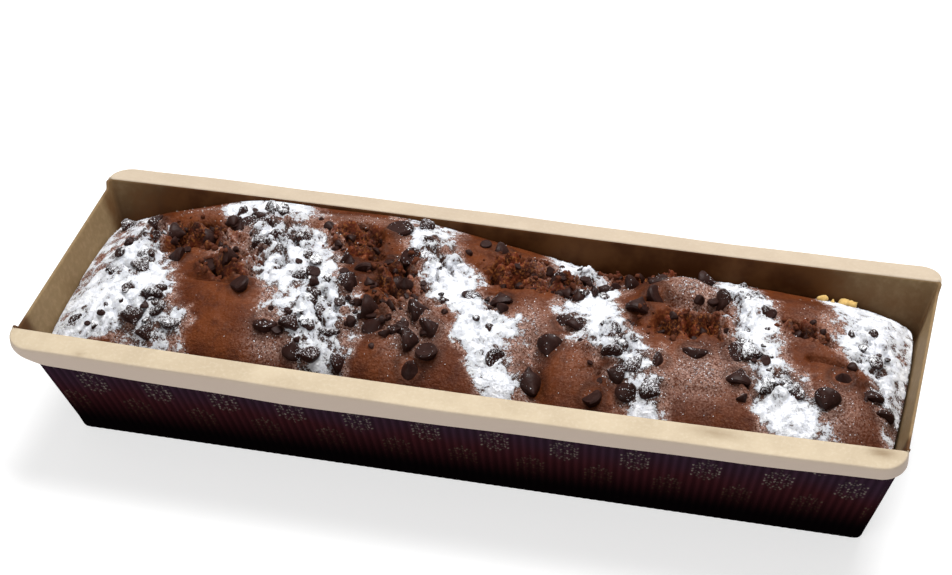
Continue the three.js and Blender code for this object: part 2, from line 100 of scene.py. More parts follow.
# Smooth swells of the skin: x, y, half-length, half-width, rise.
SWELLS = [
    [-64, -17, 14, 12, 1.8], [-20, -26, 8, 6, 2], [14, -3, 7, 10, 1.8], [31, -17, 7, 12, 2.2],
    [60, -19, 13, 9, 1.8], [84, 14, 10, 9, 1.2], [97, -15, 8, 10, 1.8], [51, 17.5, 8, 4.5, 3.6],
    [-1, -8, 6, 9, 1], [-96, -14, 10, 10, 1],
]
# Folds of the skin: x, y of both ends, half-width, depth (below zero where it is a ridge).
FOLDS = [
    [17, -12, 22, -30, 3.2, 3.4], [79, 9, 91, 5, 1.4, 2.8], [87, -2.5, 98, -2.5, 1.1, 2],
    [-77, -8, -64, -10, 0.9, 1.2], [-28, -20, -30, -30, 2.2, 2.2], [52, -23, 66, -22, 1.4, 0.9],
    [-92, 15, -73, 19, 1.8, 2.8], [43, 11.5, 60, 11, 1.5, 2.6], [-91, 20, -75, 27, 2.6, -1.6],
    [-87, 8, -76, 14.5, 2.3, -2], [-88, 3.5, -77, 9, 1.2, 1.6], [-43, 17, -36, 23, 1.8, -1.8],
    [-36, 23, -28, 20, 1.8, -1.5], [-6, 22, 12, 17, 1.6, -1.2], [107.5, 10, 108, -16, 1.6, -2],
]
# Open crags, where the crumb shows: x, y, half-length, half-width, depth.
CRAGS = [
    [-81, 12, 12, 9, 1.4], [-67, -3, 8, 6, 0.8], [-37, 16, 9, 9, 2.4], [7, 15, 11, 9, 2.4],
    [21, 13, 6, 6, 1], [54, 3, 12, 8.5, 3.4], [83, 7, 7, 4, 1.4], [38, 24, 10, 4, 1],
    [-22, 1, 8, 10, 1.2],
]
CRAG_EDGE = 1.1  # a crag ends at this share of its size
CRAG_SLOPE = 0.5
CRAG_RAGGED = 0.3
RAGGED_SIZE = 5
CRAG_LUMP = 4.4
LUMP_SIZE = 5.2
CLOD_TURN = (0.8, 0.6)  # cosine and sine of the clods' turn off the noise's lattice
# Broken crust between the crags: x, y, half-length, half-width, height of its lumps.
BROKEN = [
    [-94, 8, 9, 19, 1.8], [-58, 8, 13, 22, 2.2], [-38, -14, 11, 14, 2], [-14, 12, 9, 16, 2],
    [3, -6, 8, 14, 1.4], [24, 16, 9, 12, 2.2], [38, -12, 10, 14, 1.8], [66, 8, 9, 16, 1.8],
    [78, -16, 9, 10, 1.6], [102, 4, 8, 20, 1.8], [-18, -8, 12, 18, 1.6], [-90, -22, 10, 8, 1.4],
]
BROKEN_SIZE = 4.2
SKIN_WAVES = [[15, 0.9, 0, 0], [6.5, 0.4, 0, 0]]  # cell, swing, shift in x and y
NOISE_SEED = 1297
# Shifts of the noise, so that no two fields repeat each other.
RAGGED_AT = 40
CRUMB_AT = 60
BROKEN_AT = 90
FINE_CRUMB_AT = 50
FINE_BROKEN_AT = 110
PATCHES_AT = 17
CRUST_PITCH = 0.4  # faces of the crust's mesh
CRUMB_LUMPS = [[2.6, 1.8], [1.3, 1.0]]  # finer lumps of open crumb: cell, height
BROKEN_LUMPS = [[2.1, 0.5], [1.1, 0.3]]  # and of broken crust, as shares of its height
SKIN_PORES = [[3.1, 0.22], [1.5, 0.12]]
PIT_DEPTH = 2.2  # a gap this deep between lumps gets the darkest painted shade
COLLAR_RISE = 0.4  # the crust stands higher round a chip
COLLAR_WIDTH = 1.1
COLLAR_DARKENING = 0.75  # how dark it is there, where a pit is 1

# ---- Chocolate chips ----
CHIPS = [
    [-91, -4, 6.2, 60, 60], [-99, -4.5, 5.4, 30, 200], [-101, 5.5, 4.8, 100, 190],
    [-83.5, -16, 6, 80, 95], [-80.5, -20.5, 5.2, 140, 0], [-76, -23.5, 6.8, 165, -90],
    [-86.5, -24, 5.6, 110, -60], [-82.5, -26.5, 5.8, 80, 200], [-104, -19.5, 5.2, 20, 0],
    [-95, 19, 5.4, 40, 30], [-86, 10, 5.6, 85, 0], [-77.5, 12.5, 6.6, 80, 10],
    [-72.5, -3, 6.8, 170, 0], [-67.5, -1, 6.2, 100, 20], [-66.5, -7, 6, 120, -80],
    [-60.5, -12, 5.8, 150, 0], [-63.5, 18, 6, 30, 0], [-69, 18.5, 5.8, 160, 0],
    [-62, 8.5, 5.8, 70, 140], [-56, 6.5, 5.4, 110, 10], [-51, -21.5, 6.8, 160, -90],
    [-44.5, -20.5, 6.4, 60, 70], [-42, -27, 6, 10, 0], [-34, -21.5, 6, 150, -90],
    [-37, -28.5, 5.8, 170, 0], [-30, -27.5, 6.4, 70, 30], [-37.5, 6, 5.8, 120, 0],
    [-33.5, -4.5, 6.4, 30, 20], [-31, 3, 6, 90, 100], [-25, -3, 6.6, 80, 80],
    [-25.5, -13.5, 7, 100, 10], [-22.5, -18.5, 6.8, 20, 0], [-17, -17, 6.8, 170, 0],
    [-13, -20.5, 6.6, 90, 20], [-9, -15.5, 6.8, 90, 45], [-11, -26.5, 7.4, 15, -90],
    [-7.5, -23.5, 6, 170, 0], [-27.5, 23.5, 7, 175, 0], [-25, 8.5, 5.8, 40, 0],
    [-20.5, 10, 5.8, 150, 60], [-22, 3.5, 6.2, 80, 10], [-17, 13.5, 6, 70, 20],
    [6, 0.5, 6.6, 70, 110], [9, -20.5, 6.2, 110, 150], [18, -21, 6.4, 30, 90],
    [19.5, -25, 7.6, 80, -60], [22, -13, 7.2, 95, -90], [23.5, -3.8, 6, 85, -90],
    [27, -4.7, 5.4, 60, 60], [37, -3.5, 5.8, 100, 0], [38, -9, 5.4, 40, 90],
    [38.6, -15.2, 6, 85, 95], [44.5, -16.5, 6.6, 30, 40], [50, -15, 6, 120, 0],
    [44.5, -24.5, 6.4, 20, 0], [50.5, -24, 6.4, 70, -30], [36, -27, 6.2, 160, 0],
    [41, 6, 6.4, 60, 80], [44, 12.5, 6.8, 130, 180], [58.5, -9.5, 7.6, 150, -90],
    [55.5, 23, 5.8, 80, 0], [62, 14, 6.8, 110, 20], [68.5, -7, 7.2, 150, 30],
    [72.5, -7, 6.6, 80, 0], [71, -16, 6.8, 60, 90], [82, -13, 5.8, 80, 90],
    [78, -17.5, 5.8, 110, 0], [85.5, -16, 5.6, 100, 0], [95.6, -8, 7, 10, -90],
    [93.3, -18, 7, 95, -90], [103.3, -9.5, 6.2, 70, 100], [107, -13.5, 5.6, 90, 90],
    [40.5, -20.5, 5.6, 60, 200], [36.7, 18.6, 6.2, 100, 20], [43.5, 19, 6.2, 60, 200],
    [-105.5, 24, 5, 50, 0], [-82.7, 0.6, 6, 90, 180], [0.3, 24.5, 6.6, 95, 0],
    [-20.8, 28, 5.2, 60, 0], [-13.2, -11.5, 6.6, 90, 30],
]
# Handfuls of further chips: x, y, half-length, half-width, how many.
HANDFULS = [
    [-98, 10, 8, 14, 3], [-55, 12, 9, 17, 6], [-42, -8, 7, 9, 2], [-24, 16, 8, 11, 2],
    [-8, 10, 6, 14, 1], [22, 13, 7, 8, 3], [66, 18, 7, 8, 2], [101, 6, 5, 14, 1],
]
CHIP_SEED = 4211
CHIP_SIZES = (3.8, 5.6)
CHIP_SPACING = 0.75  # least distance, in diameters, over the gap
CHIP_GAP = 1
CHIP_TRIES = 12
HANDFUL_SLANT = 0.4
CHIP_LIFTS = (0.1, -0.04, -0.16)  # how high a chip's middle lies, in diameters, by turns
CHIP_MARGIN = (107, 29)
# Half of a chip's outline, as shares of its radius, from the middle of its foot to its tip.
CHIP_PROFILE = [[0, -0.5], [0.6, -0.54], [0.9, -0.51], [1.0, -0.37], [0.97, -0.15],
                [0.8, 0.1], [0.56, 0.34], [0.35, 0.56], [0.18, 0.78], [0.07, 0.92], [0, 0.96]]
CHIP_TURNS = 18
CHIP_FACETS = 2  # flats melted or knocked on a chip
CHIP_FACET_AT = 0.36  # their distance from its middle, in diameters
CHIP_FACET_DEPTH = 0.85  # share of what lies beyond that is pressed flat
CHIP_SHARP = 38  # edges sharper than this aren't smoothed
CHIP_BEND = 0.12  # in diameters, over the whole swing
CHIP_STRETCH = 0.12
CHIP_OVAL = 0.05
CHIP_TRIANGULAR = 0.03

# ---- Powdered sugar ----
# Bands of sugar across the loaf: y, x of the left edge, x of the right edge.
BANDS = [
    [[-29, -120, -73], [-20, -120, -75], [-10, -120, -80], [2, -120, -86], [15, -120, -93],
     [25, -120, -98], [33, -120, -101]],
    [[-33, -38, -26], [-28, -40, -28], [-20, -49, -28], [-10, -56, -32], [0, -61, -37.5],
     [10, -67, -43], [20, -72, -48], [30, -78, -53], [34, -80, -55]],
    [[-29, 8, 17], [-25, 6, 15], [-20, 2, 12], [-10, -4, 9], [0, -13, 3], [10, -20, -4],
     [20, -24, -10], [30, -28, -14], [34, -30, -15]],
    [[-33, 46, 54], [-28, 44, 51], [-20, 39.5, 50], [-10, 29, 46], [0, 23, 38], [10, 21, 35],
     [20, 17, 30], [30, 14, 24], [34, 12, 21]],
    [[-33, 83, 98], [-28, 81, 94], [-20, 75, 90], [-10, 71, 85], [0, 67, 80], [10, 63, 76],
     [20, 60, 72], [30, 56, 66], [34, 54, 65]],
    [[-24, 112, 125], [-20, 110, 125], [-10, 106, 125], [-5, 103, 125], [0, 98, 125],
     [10, 94, 125], [20, 91, 125], [28, 88, 125], [34, 86, 125]],
]
BAND_COVER = 0.92
BAND_FRINGE = 4.8  # width over which a band thins out
BAND_RAGGED = [[6.5, 2.8, 0, 30], [2.6, 1.8, 30, 0], [1.1, 1.0, 0, 0]]  # as SKIN_WAVES
SUGAR_PATCHES = [[8.5, 0.16], [4.2, 0.3], [2.1, 0.3]]  # cell, contrast
# Thick heaps in the bands, dustings beside them and bare places (below zero): x, y, a, b, amount.
# Light dustings also paint a pale sheen on the skin.
DUSTINGS = [
    [-94, -15, 9, 6, 0.45], [-98, 5, 5, 6, 0.3], [-50, 0, 7, 6, 0.4], [-59, 12, 5, 6, 0.25],
    [-41, -13, 6, 6, 0.35], [-35, -24, 5, 4, 0.3], [-23, 21, 4, 5, 0.35], [-8, 3, 5, 7, 0.35],
    [4, -12, 5, 6, 0.4], [9, -24, 5, 5, 0.4], [22, 20, 4, 6, 0.4], [30, 8, 5, 5, 0.35],
    [38, -4, 5, 5, 0.3], [48, -26, 4, 4, 0.35], [64, 19, 4, 6, 0.45], [72, 3, 5, 7, 0.45],
    [86, -22, 7, 6, 0.35], [101, 8, 5, 9, 0.45], [107, -4, 3, 9, 0.45],
    [-14, -14, 9, 13, 0.3], [15, -10, 6, 12, 0.34], [31, -16, 7, 11, 0.13], [61, -16, 12, 10, 0.3],
    [55, 14, 9, 5, 0.34], [97, -18, 9, 9, 0.22], [-86, -29, 12, 4, -0.12], [-104, 16, 7, 12, -0.4],
    [107, 6, 5, 14, -0.4], [-54, 18, 6, 6, -0.25], [-17, 20, 5, 6, -0.3], [24, 15, 5, 6, -0.3],
    [-84, -18, 6, 8, 0.12], [-46, -14, 4, 8, -0.2], [79, -8, 6, 4, -0.25], [88, 12, 9, 12, 0.14],
    # the first two on the next line, at the back, stand for a painted pale sheen as much as for dust
    [-84, 27, 8, 5, 0.2], [-38, 28, 9, 4, 0.2], [-52, -18, 5, 10, 0.12],
    [-70, 4, 6, 5, 0.3], [-47, -27, 8, 4, 0.25], [14, 20, 5, 8, 0.2], [52, 19, 7, 3, 0.2],
    [-99, -30, 10, 4, -0.9], [-91, 7, 4, 4, -0.6], [-60, 16, 8, 5, -0.2], [24, 12, 6, 5, -0.5],
    [-108, 0, 3, 24, -0.35],
]
BED_FROM = 0.45  # sugar from this amount on has a thickness
BED_OVER = 0.5
BED_HEIGHT = 0.35
BED_LUMPS = [[1.7, 0.3, 70, 0], [0.8, 0.15, 0, 70]]  # as SKIN_WAVES


# ---- Curves and seeded draws ----

def make_random(seed):
    """Park and Miller's generator: the same draws on every run."""
    state = seed

    def draw():
        nonlocal state
        state = state * 48271 % 2147483647
        return state / 2147483647

    return draw


def along(stations, x):
    """A smooth curve through [x, height] stations."""
    xs, heights = np.array(stations, float).T
    count = len(xs)
    before = np.maximum(np.arange(count) - 1, 0)
    after = np.minimum(np.arange(count) + 1, count - 1)
    slopes = (heights[after] - heights[before]) / (xs[after] - xs[before])
    at = np.clip(x, xs[0], xs[-1])
    i = np.clip(np.searchsorted(xs, at, side="right") - 1, 0, count - 2)
    w = xs[i + 1] - xs[i]
    t = (at - xs[i]) / w
    t2 = t * t
    t3 = t2 * t
    return ((2 * t3 - 3 * t2 + 1) * heights[i] + (t3 - 2 * t2 + t) * w * slopes[i]
            + (3 * t2 - 2 * t3) * heights[i + 1] + (t3 - t2) * w * slopes[i + 1])


def smooth(t):
    t = np.clip(t, 0, 1)
    return t * t * (3 - 2 * t)


NOISE_SIZE = 128
noise_draw = make_random(NOISE_SEED)
NOISE_TABLE = np.array([2 * noise_draw() - 1 for _ in range(NOISE_SIZE ** 2)])
NOISE_TABLE = NOISE_TABLE.reshape(NOISE_SIZE, NOISE_SIZE)


def noise(x, y, cell):
    """Smooth noise from -1 to 1 on a square lattice of seeded draws."""
    i = np.floor(x / cell).astype(int)
    j = np.floor(y / cell).astype(int)
    u = smooth(x / cell - i)
    v = smooth(y / cell - j)

    def value(a, b):
        return NOISE_TABLE[a % NOISE_SIZE, b % NOISE_SIZE]

    near = value(i, j) * (1 - u) + value(i + 1, j) * u
    far = value(i, j + 1) * (1 - u) + value(i + 1, j + 1) * u
    return near * (1 - v) + far * v


def add_noise(height, x, y, layers):
    """A height with layers of noise on it: cell, swing, shift in x and y."""
    for cell, swing, dx, dy in layers:
        height = height + swing * noise(x + dx, y + dy, cell)
    return height


def add_hills(height, x, y, hills):
    """A height with smooth hills on it: x, y, half-length, half-width, rise."""
    for cx, cy, a, b, rise in hills:
        height = height + rise * np.exp(-((x - cx) / a) ** 2 - ((y - cy) / b) ** 2)
    return height


def clods(x, y, cell):
    """Rounded lumps from -1 to 1 that are parted by narrow creases."""
    c, s = CLOD_TURN
    return 2 * np.sqrt(np.abs(noise(c * x + s * y, c * y - s * x, cell))) - 1


# ---- Crust ----

def dome(x, y):
    """The plain dome, before its relief."""
    u = np.minimum(np.abs(x) / DOME_HALF[0], 1)
    v = np.minimum(np.abs(y) / DOME_HALF[1], 1)
    edge = np.where(y < 0, along(FRONT_EDGE, x), along(BACK_EDGE, x))
    across = (1 - v ** DOME_POWER) ** DOME_ROUNDING
    lengthwise = (1 - u ** END_POWER) ** END_ROUNDING
    return edge + across * (END_SWELL + (along(CREST, x) - edge - END_SWELL) * lengthwise)


def openness(x, y):
    """How open the crumb is, from 0 on the skin to 1 inside a crag, and how deep it lies."""
    ragged = CRAG_RAGGED * noise(x + RAGGED_AT, y, RAGGED_SIZE)
    open_crumb = np.zeros_like(x)
    depth = np.zeros_like(x)
    for cx, cy, a, b, deep in CRAGS:
        away = np.hypot((x - cx) / a, (y - cy) / b)
        inside = smooth((CRAG_EDGE - away - ragged) / CRAG_SLOPE)
        open_crumb = np.maximum(open_crumb, inside)
        depth += deep * inside
    return open_crumb, depth


def brokenness(x, y):
    """Height of the lumps where the crust is broken up without being open."""
    height = np.zeros_like(x)
    for cx, cy, a, b, lump in BROKEN:
        height = np.maximum(height, lump * smooth(2 - 2 * np.hypot((x - cx) / a, (y - cy) / b)))
    return height


def relief(x, y):
    """The crust's waves, swells, folds and sunken crags, over the plain dome."""
    rise = add_hills(add_noise(0.0, x, y, SKIN_WAVES), x, y, SWELLS)
    for x0, y0, x1, y1, width, depth in FOLDS:
        length = math.hypot(x1 - x0, y1 - y0)
        t = np.clip(((x - x0) * (x1 - x0) + (y - y0) * (y1 - y0)) / length ** 2, 0, 1)
        off = np.hypot(x - x0 - t * (x1 - x0), y - y0 - t * (y1 - y0)) / width
        rise -= depth * np.exp(-off * off)
    return rise - openness(x, y)[1]


def lumps(x, y):
    """Lumps of the open crumb and of the broken crust."""
    crumb = CRAG_LUMP * clods(x, y + CRUMB_AT, LUMP_SIZE)
    broken = brokenness(x, y) * clods(x + BROKEN_AT, y, BROKEN_SIZE)
    return openness(x, y)[0] * crumb + broken


def fade(x, y):
    """Relief fades out towards the paper."""
    u = np.abs(x) / DOME_HALF[0]
    v = np.abs(y) / DOME_HALF[1]
    return np.maximum(1 - np.maximum(u ** END_FADE, v ** SIDE_FADE), 0)


def crust(x, y):
    return dome(x, y) + fade(x, y) * (relief(x, y) + lumps(x, y))


def sugar_amount(x, y):
    """How thickly the sugar lies, from 0 to 1."""
    amount = np.zeros_like(x)
    ragged = add_noise(0.0, x, y, BAND_RAGGED)
    for band in BANDS:
        left = along([[y0, x0] for y0, x0, _ in band], y)
        right = along([[y0, x1] for y0, _, x1 in band], y)
        inside = np.minimum(x - left, right - x) + ragged
        amount = np.maximum(amount, smooth(0.5 + inside / BAND_FRINGE / 2))
    amount *= BAND_COVER
    for cell, contrast in SUGAR_PATCHES:
        amount *= 1 + contrast * noise(x + PATCHES_AT, y, cell)
    return np.clip(add_hills(amount, x, y, DUSTINGS), 0, 1)


def collars(x, y):
    """Rings round the chips, from 0 to 1, where the crust has risen and is darker."""
    ring = np.zeros_like(x)
    for cx, cy, diameter, _, _ in all_chips():
        away = (np.hypot(x - cx, y - cy) - diameter / 2) / COLLAR_WIDTH
        ring = np.maximum(ring, np.exp(-away ** 2))
    return ring


def fine_crust(x, y):
    """Height of the crust with its finest lumps and its sugar, and what its material needs."""
    opened, _ = openness(x, y)
    broken = brokenness(x, y)
    sugar = sugar_amount(x, y)
    lumpy = lumps(x, y)
    for cell, height in CRUMB_LUMPS:
        lumpy += opened * height * clods(x + FINE_CRUMB_AT, y, cell)
    for cell, share in BROKEN_LUMPS:
        lumpy += broken * share * clods(x + FINE_BROKEN_AT, y, cell)
    ring = collars(x, y)
    rise = relief(x, y) + lumpy + COLLAR_RISE * ring
    for cell, height in SKIN_PORES:
        rise += (1 - opened) * height * noise(x, y + FINE_CRUMB_AT, cell)
    rise += smooth((sugar - BED_FROM) / BED_OVER) * add_noise(BED_HEIGHT, x, y, BED_LUMPS)
    # painted shade in the gaps between lumps; the rings round the chips are darkened with it
    pit = np.maximum(smooth(-lumpy / PIT_DEPTH), COLLAR_DARKENING * ring)
    return dome(x, y) + fade(x, y) * rise, {"sugar": sugar, "open": opened, "pit": pit}


# ---- Mesh helpers ----

def to_frame(points):
    points = np.asarray(points, float)
    return (points + np.array([0, Y_SHIFT, 0])) / 1000


def add_object(name, data):
    thing = bpy.data.objects.new(name, data)
    bpy.context.scene.collection.objects.link(thing)
    return thing


def make_piece(name, node, points, faces, materials, attributes=None, flat=False, sharp=0):
    """A mesh object that stands for a node, from points in millimetres."""
    mesh = bpy.data.meshes.new(name)
    mesh.from_pydata(to_frame(points).tolist(), [], faces)
    mesh.update()
    for values_name, values in (attributes or {}).items():
        layer = mesh.attributes.new(values_name, "FLOAT", "POINT")
        layer.data.foreach_set("value", np.asarray(values, np.float32))
    if not flat:
        mesh.polygons.foreach_set("use_smooth", [True] * len(mesh.polygons))
    if sharp:
        mesh.set_sharp_from_angle(angle=math.radians(sharp))
    for material in materials:
        mesh.materials.append(material)
    piece = add_object(name, mesh)
    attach(piece, "root")
    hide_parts(node)
    return piece


def quads(rows, closed=True):
    """Faces between neighbouring rows of point numbers, where each row may close on itself."""
    rows = np.array(rows)
    if closed:
        rows = np.column_stack([rows, rows[:, 0]])
    corners = [rows[:-1, :-1], rows[:-1, 1:], rows[1:, 1:], rows[1:, :-1]]
    return np.stack(corners, -1).reshape(-1, 4).tolist()


def fan(middle, ring):
    """Faces from a middle point to the points of a closed ring."""
    return [(middle, a, b) for a, b in zip(ring, np.roll(ring, -1).tolist())]


def copies(faces, size, count):
    """The faces of a shape of that many points, for each of its copies."""
    return [[size * n + k for k in face] for n in range(count) for face in faces]


# ---- Materials ----

class Shader:
    """A material whose nodes are added by small calls that return sockets."""

    def __init__(self, name):
        self.material = bpy.data.materials.new(name)
        self.material.use_nodes = True
        self.tree = self.material.node_tree
        self.surface = self.tree.nodes["Principled BSDF"]

    def add(self, kind, inputs, output=0, **settings):
        node = self.tree.nodes.new("ShaderNode" + kind)
        for key, value in settings.items():
            setattr(node, key, value)
        for key, value in inputs.items():
            self.plug(node.inputs[key], value)
        return node.outputs[output]

    def plug(self, socket, value):
        if isinstance(value, bpy.types.NodeSocket):
            self.tree.links.new(value, socket)
        else:
            socket.default_value = (*value, 1.0) if isinstance(value, tuple) else value

    def math(self, operation, a, b=0.0, c=0.0):
        return self.add("Math", {0: a, 1: b, 2: c}, operation=operation)

    def times(self, a, b):
        return self.math("MULTIPLY", a, b)

    def plus(self, a, b):
        return self.math("ADD", a, b)

    def minus(self, a, b):
        return self.math("SUBTRACT", a, b)

    def value(self, name):
        return self.add("Attribute", {}, "Fac", attribute_name=name)

    def place(self):
        return self.add("TexCoord", {}, "Object")

    def upward(self):
        """How far the surface faces up, from 0 at a wall to 1 on top."""
        normal = self.add("NewGeometry", {}, "Normal")
        return self.add("SeparateXYZ", {"Vector": normal}, "Z")

    def repeat(self, value, middle, pitch):
        """The distance from the nearest of evenly spaced middles, from minus to plus half a pitch."""
        shifted = self.plus(value, pitch / 2 - middle)
        return self.minus(self.math("WRAP", shifted, pitch), pitch / 2)

    def noise(self, size, detail, roughness=0.55):
        """Fractal noise from 0 to 1 whose lumps are about `size` millimetres."""
        return self.add("TexNoise", {
            "Vector": self.place(), "Scale": 1000 / size, "Detail": detail,
            "Roughness": roughness}, "Fac")

    def step(self, value, low, high):
        return self.add("MapRange", {
            "Value": value, "From Min": low, "From Max": high}, interpolation_type="SMOOTHSTEP")

    def mix(self, factor, a, b):
        node = self.tree.nodes.new("ShaderNodeMix")
        node.data_type = "RGBA"
        for index, value in ((0, factor), (6, a), (7, b)):
            self.plug(node.inputs[index], value)
        return node.outputs[2]

    def swing(self, noise, size):
        """Noise of 0 to 1 as a swing to both sides of zero."""
        return self.times(self.minus(noise, 0.5), size)

    def tones(self, noise, low, high, below, above):
        """Two tones, the first where the noise is low and the second where it is high."""
        return self.mix(self.step(noise, low, high), below, above)

    def tint(self, base, share, strength, colour):
        """The base, taken towards a colour by a share of 0 to 1."""
        return self.mix(self.times(share, strength), base, colour)

    def bump(self, height, distance, strength, normal=None):
        inputs = {"Height": height, "Distance": distance / 1000, "Strength": strength}
        if normal:
            inputs["Normal"] = normal
        return self.add("Bump", inputs)

    def finish(self, colour, roughness, specular, normal=None):
        for name, value in (("Base Color", colour), ("Roughness", roughness),
                            ("Specular IOR Level", specular), ("Normal", normal)):
            if value is not None:
                self.plug(self.surface.inputs[name], value)
        return self.material


# Colours are linear red, green and blue.
SUGAR_WHITE = (0.93, 0.94, 0.96)
SUGAR_SHADE = (0.84, 0.86, 0.92)
GRAIN_TONES = ((0.79, 0.80, 0.84), (0.91, 0.92, 0.95))
SKIN_TONES = ((0.076, 0.015, 0.002), (0.122, 0.028, 0.005))
SKIN_PATCH = (0.045, 0.009, 0.003)
SKIN_SPECK = (0.34, 0.14, 0.065)
OPEN_TONES = ((0.041, 0.0085, 0.0036), (0.140, 0.027, 0.0098))
OPEN_SPECK = (0.34, 0.12, 0.03)
# thin powder on the skin, which also stands for a painted pale sheen
HAZE_AND_SHEEN = (0.46, 0.29, 0.235)
# painted shade in the gaps between clumps of sugar
SHADE_UNDER_SUGAR = (0.020, 0.011, 0.009)
# painted shade in the gaps between lumps of crust
PIT_SHADE = (0.013, 0.0045, 0.0028)
CHIP_TONES = ((0.012, 0.004, 0.003), (0.034, 0.011, 0.0075))
CHIP_BLOOM = (0.075, 0.036, 0.030)
BROWN_CRUMB = ((0.03, 0.008, 0.004), (0.15, 0.04, 0.015))
GOLDEN_CRUMB = ((0.52, 0.30, 0.07), (0.80, 0.58, 0.24))
CARD_TONES = ((0.46, 0.37, 0.255), (0.53, 0.435, 0.305))
CARD_FIBRE = (0.60, 0.52, 0.39)
CARD_STAIN = (0.22, 0.15, 0.08)
# painted shade of the turned-down lips, which face away from the light
LIP_SHADE = (0.43, 0.35, 0.29)
INSIDE_TONES = ((0.225, 0.150, 0.075), (0.265, 0.18, 0.095))
GREASE_TONES = ((0.046, 0.013, 0.0015), (0.085, 0.032, 0.008))
# the print's dark colour near the foot, darkened further as painted shade of the down-turned face
PRINT_FOOT_AND_SHADE = (0.0016, 0.0010, 0.0012)
PRINT_MIDDLE = (0.031, 0.0072, 0.0090)
PRINT_TOP = (0.025, 0.0125, 0.022)
# painted shade in the valleys between the ribs
VALLEY_SHADE = (0.0010, 0.0006, 0.0008)
INK_TONES = ((0.055, 0.045, 0.018), (0.14, 0.125, 0.105))
FLOOR_TONES = ((0.52, 0.52, 0.52), (0.54, 0.54, 0.54))


def bare_crust(s, sugar, middle, fine):
    """The crust under its sugar: skin, open crumb, a thin powder dusting that also paints a pale
    sheen, painted shade between the sugar's clumps, and painted shade in the dark pits.
    """
    powder = s.noise(0.55, 3, 0.7)
    skin = s.tones(s.noise(14, 2), 0.35, 0.65, *SKIN_TONES)
    skin = s.tint(skin, s.step(middle, 0.45, 0.7), 0.6, SKIN_PATCH)
    skin = s.tint(skin, s.step(powder, 0.52, 0.68), 0.2, SKIN_SPECK)
    crumb = s.tones(middle, 0.38, 0.62, *OPEN_TONES)
    crumb = s.tint(crumb, s.step(fine, 0.48, 0.68), 0.7, OPEN_SPECK)
    base = s.mix(s.value("open"), skin, crumb)
    # thin speckled powder, also standing for a painted pale sheen on the skin
    dust_and_sheen = s.times(s.step(sugar, 0.0, 0.4), s.step(powder, 0.38, 0.6))
    base = s.tint(base, dust_and_sheen, 0.85, HAZE_AND_SHEEN)
    # painted shade on the crust between the sugar's clumps
    base = s.tint(base, s.step(sugar, 0.4, 0.8), 0.7, SHADE_UNDER_SUGAR)
    # painted shade in the pits
    return s.tint(base, s.value("pit"), 0.62, PIT_SHADE)


def sugar_level(s, sugar):
    """How much sugar lies on the crust: grainy and clumped, less in pits and on steep places."""
    grain = s.swing(s.noise(0.75, 5, 0.8), 2.4)
    clumps = s.times(s.minus(s.noise(2.8, 3, 0.6), 0.5), s.times(s.step(sugar, 0.1, 0.55), 2.6))
    level = s.plus(s.plus(grain, clumps), s.times(sugar, 1.25))
    level = s.minus(level, s.times(s.value("pit"), 0.5))
    return s.minus(level, s.times(s.step(s.upward(), 0.8, 0.3), 0.5))


def crust_material():
    s = Shader("cake_crust")
    sugar = s.value("sugar")
    fine = s.noise(0.7, 3)
    level = sugar_level(s, sugar)
    cover = s.step(level, 0.56, 0.78)
    # the bluish grey tone, placed at random, is painted shade on the sugar's lumps
    white = s.tones(s.noise(2.0, 4), 0.35, 0.65, SUGAR_SHADE, SUGAR_WHITE)
    colour = s.mix(cover, bare_crust(s, sugar, s.noise(3.2, 4), fine), white)
    wrinkles = s.bump(s.noise(1.8, 5, 0.62), 0.6, 0.7)
    crumb_bump = s.bump(fine, 0.35, 0.9, wrinkles)
    normal = s.bump(s.step(level, 0.3, 1.3), 0.5, 0.8, crumb_bump)
    return s.finish(colour, s.plus(s.times(cover, 0.4), 0.5), 0.12, normal)


def chip_material():
    s = Shader("chocolate")
    broad = s.noise(2.4, 3)
    base = s.mix(broad, *CHIP_TONES)
    base = s.tint(base, s.step(s.noise(1.1, 3), 0.5, 0.75), 0.3, CHIP_BLOOM)
    level = s.plus(s.swing(s.noise(0.6, 5, 0.8), 2.0), s.value("dust"))
    cover = s.step(level, 0.62, 0.82)
    rough = s.plus(s.times(cover, 0.5), s.plus(0.4, s.times(broad, 0.15)))
    normal = s.bump(cover, 0.1, 0.8, s.bump(s.noise(0.8, 4), 0.15, 0.7))
    return s.finish(s.mix(cover, base, SUGAR_WHITE), rough, 0.14, normal)


def sugar_material():
    s = Shader("powdered_sugar")
    normal = s.bump(s.noise(0.3, 2), 0.08, 0.8)
    return s.finish(s.mix(s.noise(0.6, 2), *GRAIN_TONES), 0.95, 0.2, normal)


def crumb_material():
    s = Shader("crumbs")
    tone = s.noise(1.3, 3)
    colour = s.mix(s.value("golden"), s.mix(tone, *BROWN_CRUMB), s.mix(tone, *GOLDEN_CRUMB))
    return s.finish(colour, 0.9, 0.2, s.bump(s.noise(0.5, 3), 0.2, 0.8))


def rim_material():
    """Cream card: mottled, with faint fibres and a few stains, and painted shade on the turned-down
    lips and their folds.
    """
    s = Shader("mould_rim")
    fibres = s.noise(1.0, 4, 0.6)
    card = s.tones(s.noise(11, 3), 0.3, 0.7, *CARD_TONES)
    card = s.tint(card, s.step(fibres, 0.45, 0.75), 0.35, CARD_FIBRE)
    card = s.tint(card, s.value("stain"), 0.8, CARD_STAIN)
    # painted shade on the lips and folds, and on part of the back rim
    card = s.mix(s.value("lip"), card, LIP_SHADE)
    return s.finish(card, 0.7, 0.25, s.bump(fibres, 0.06, 0.5))


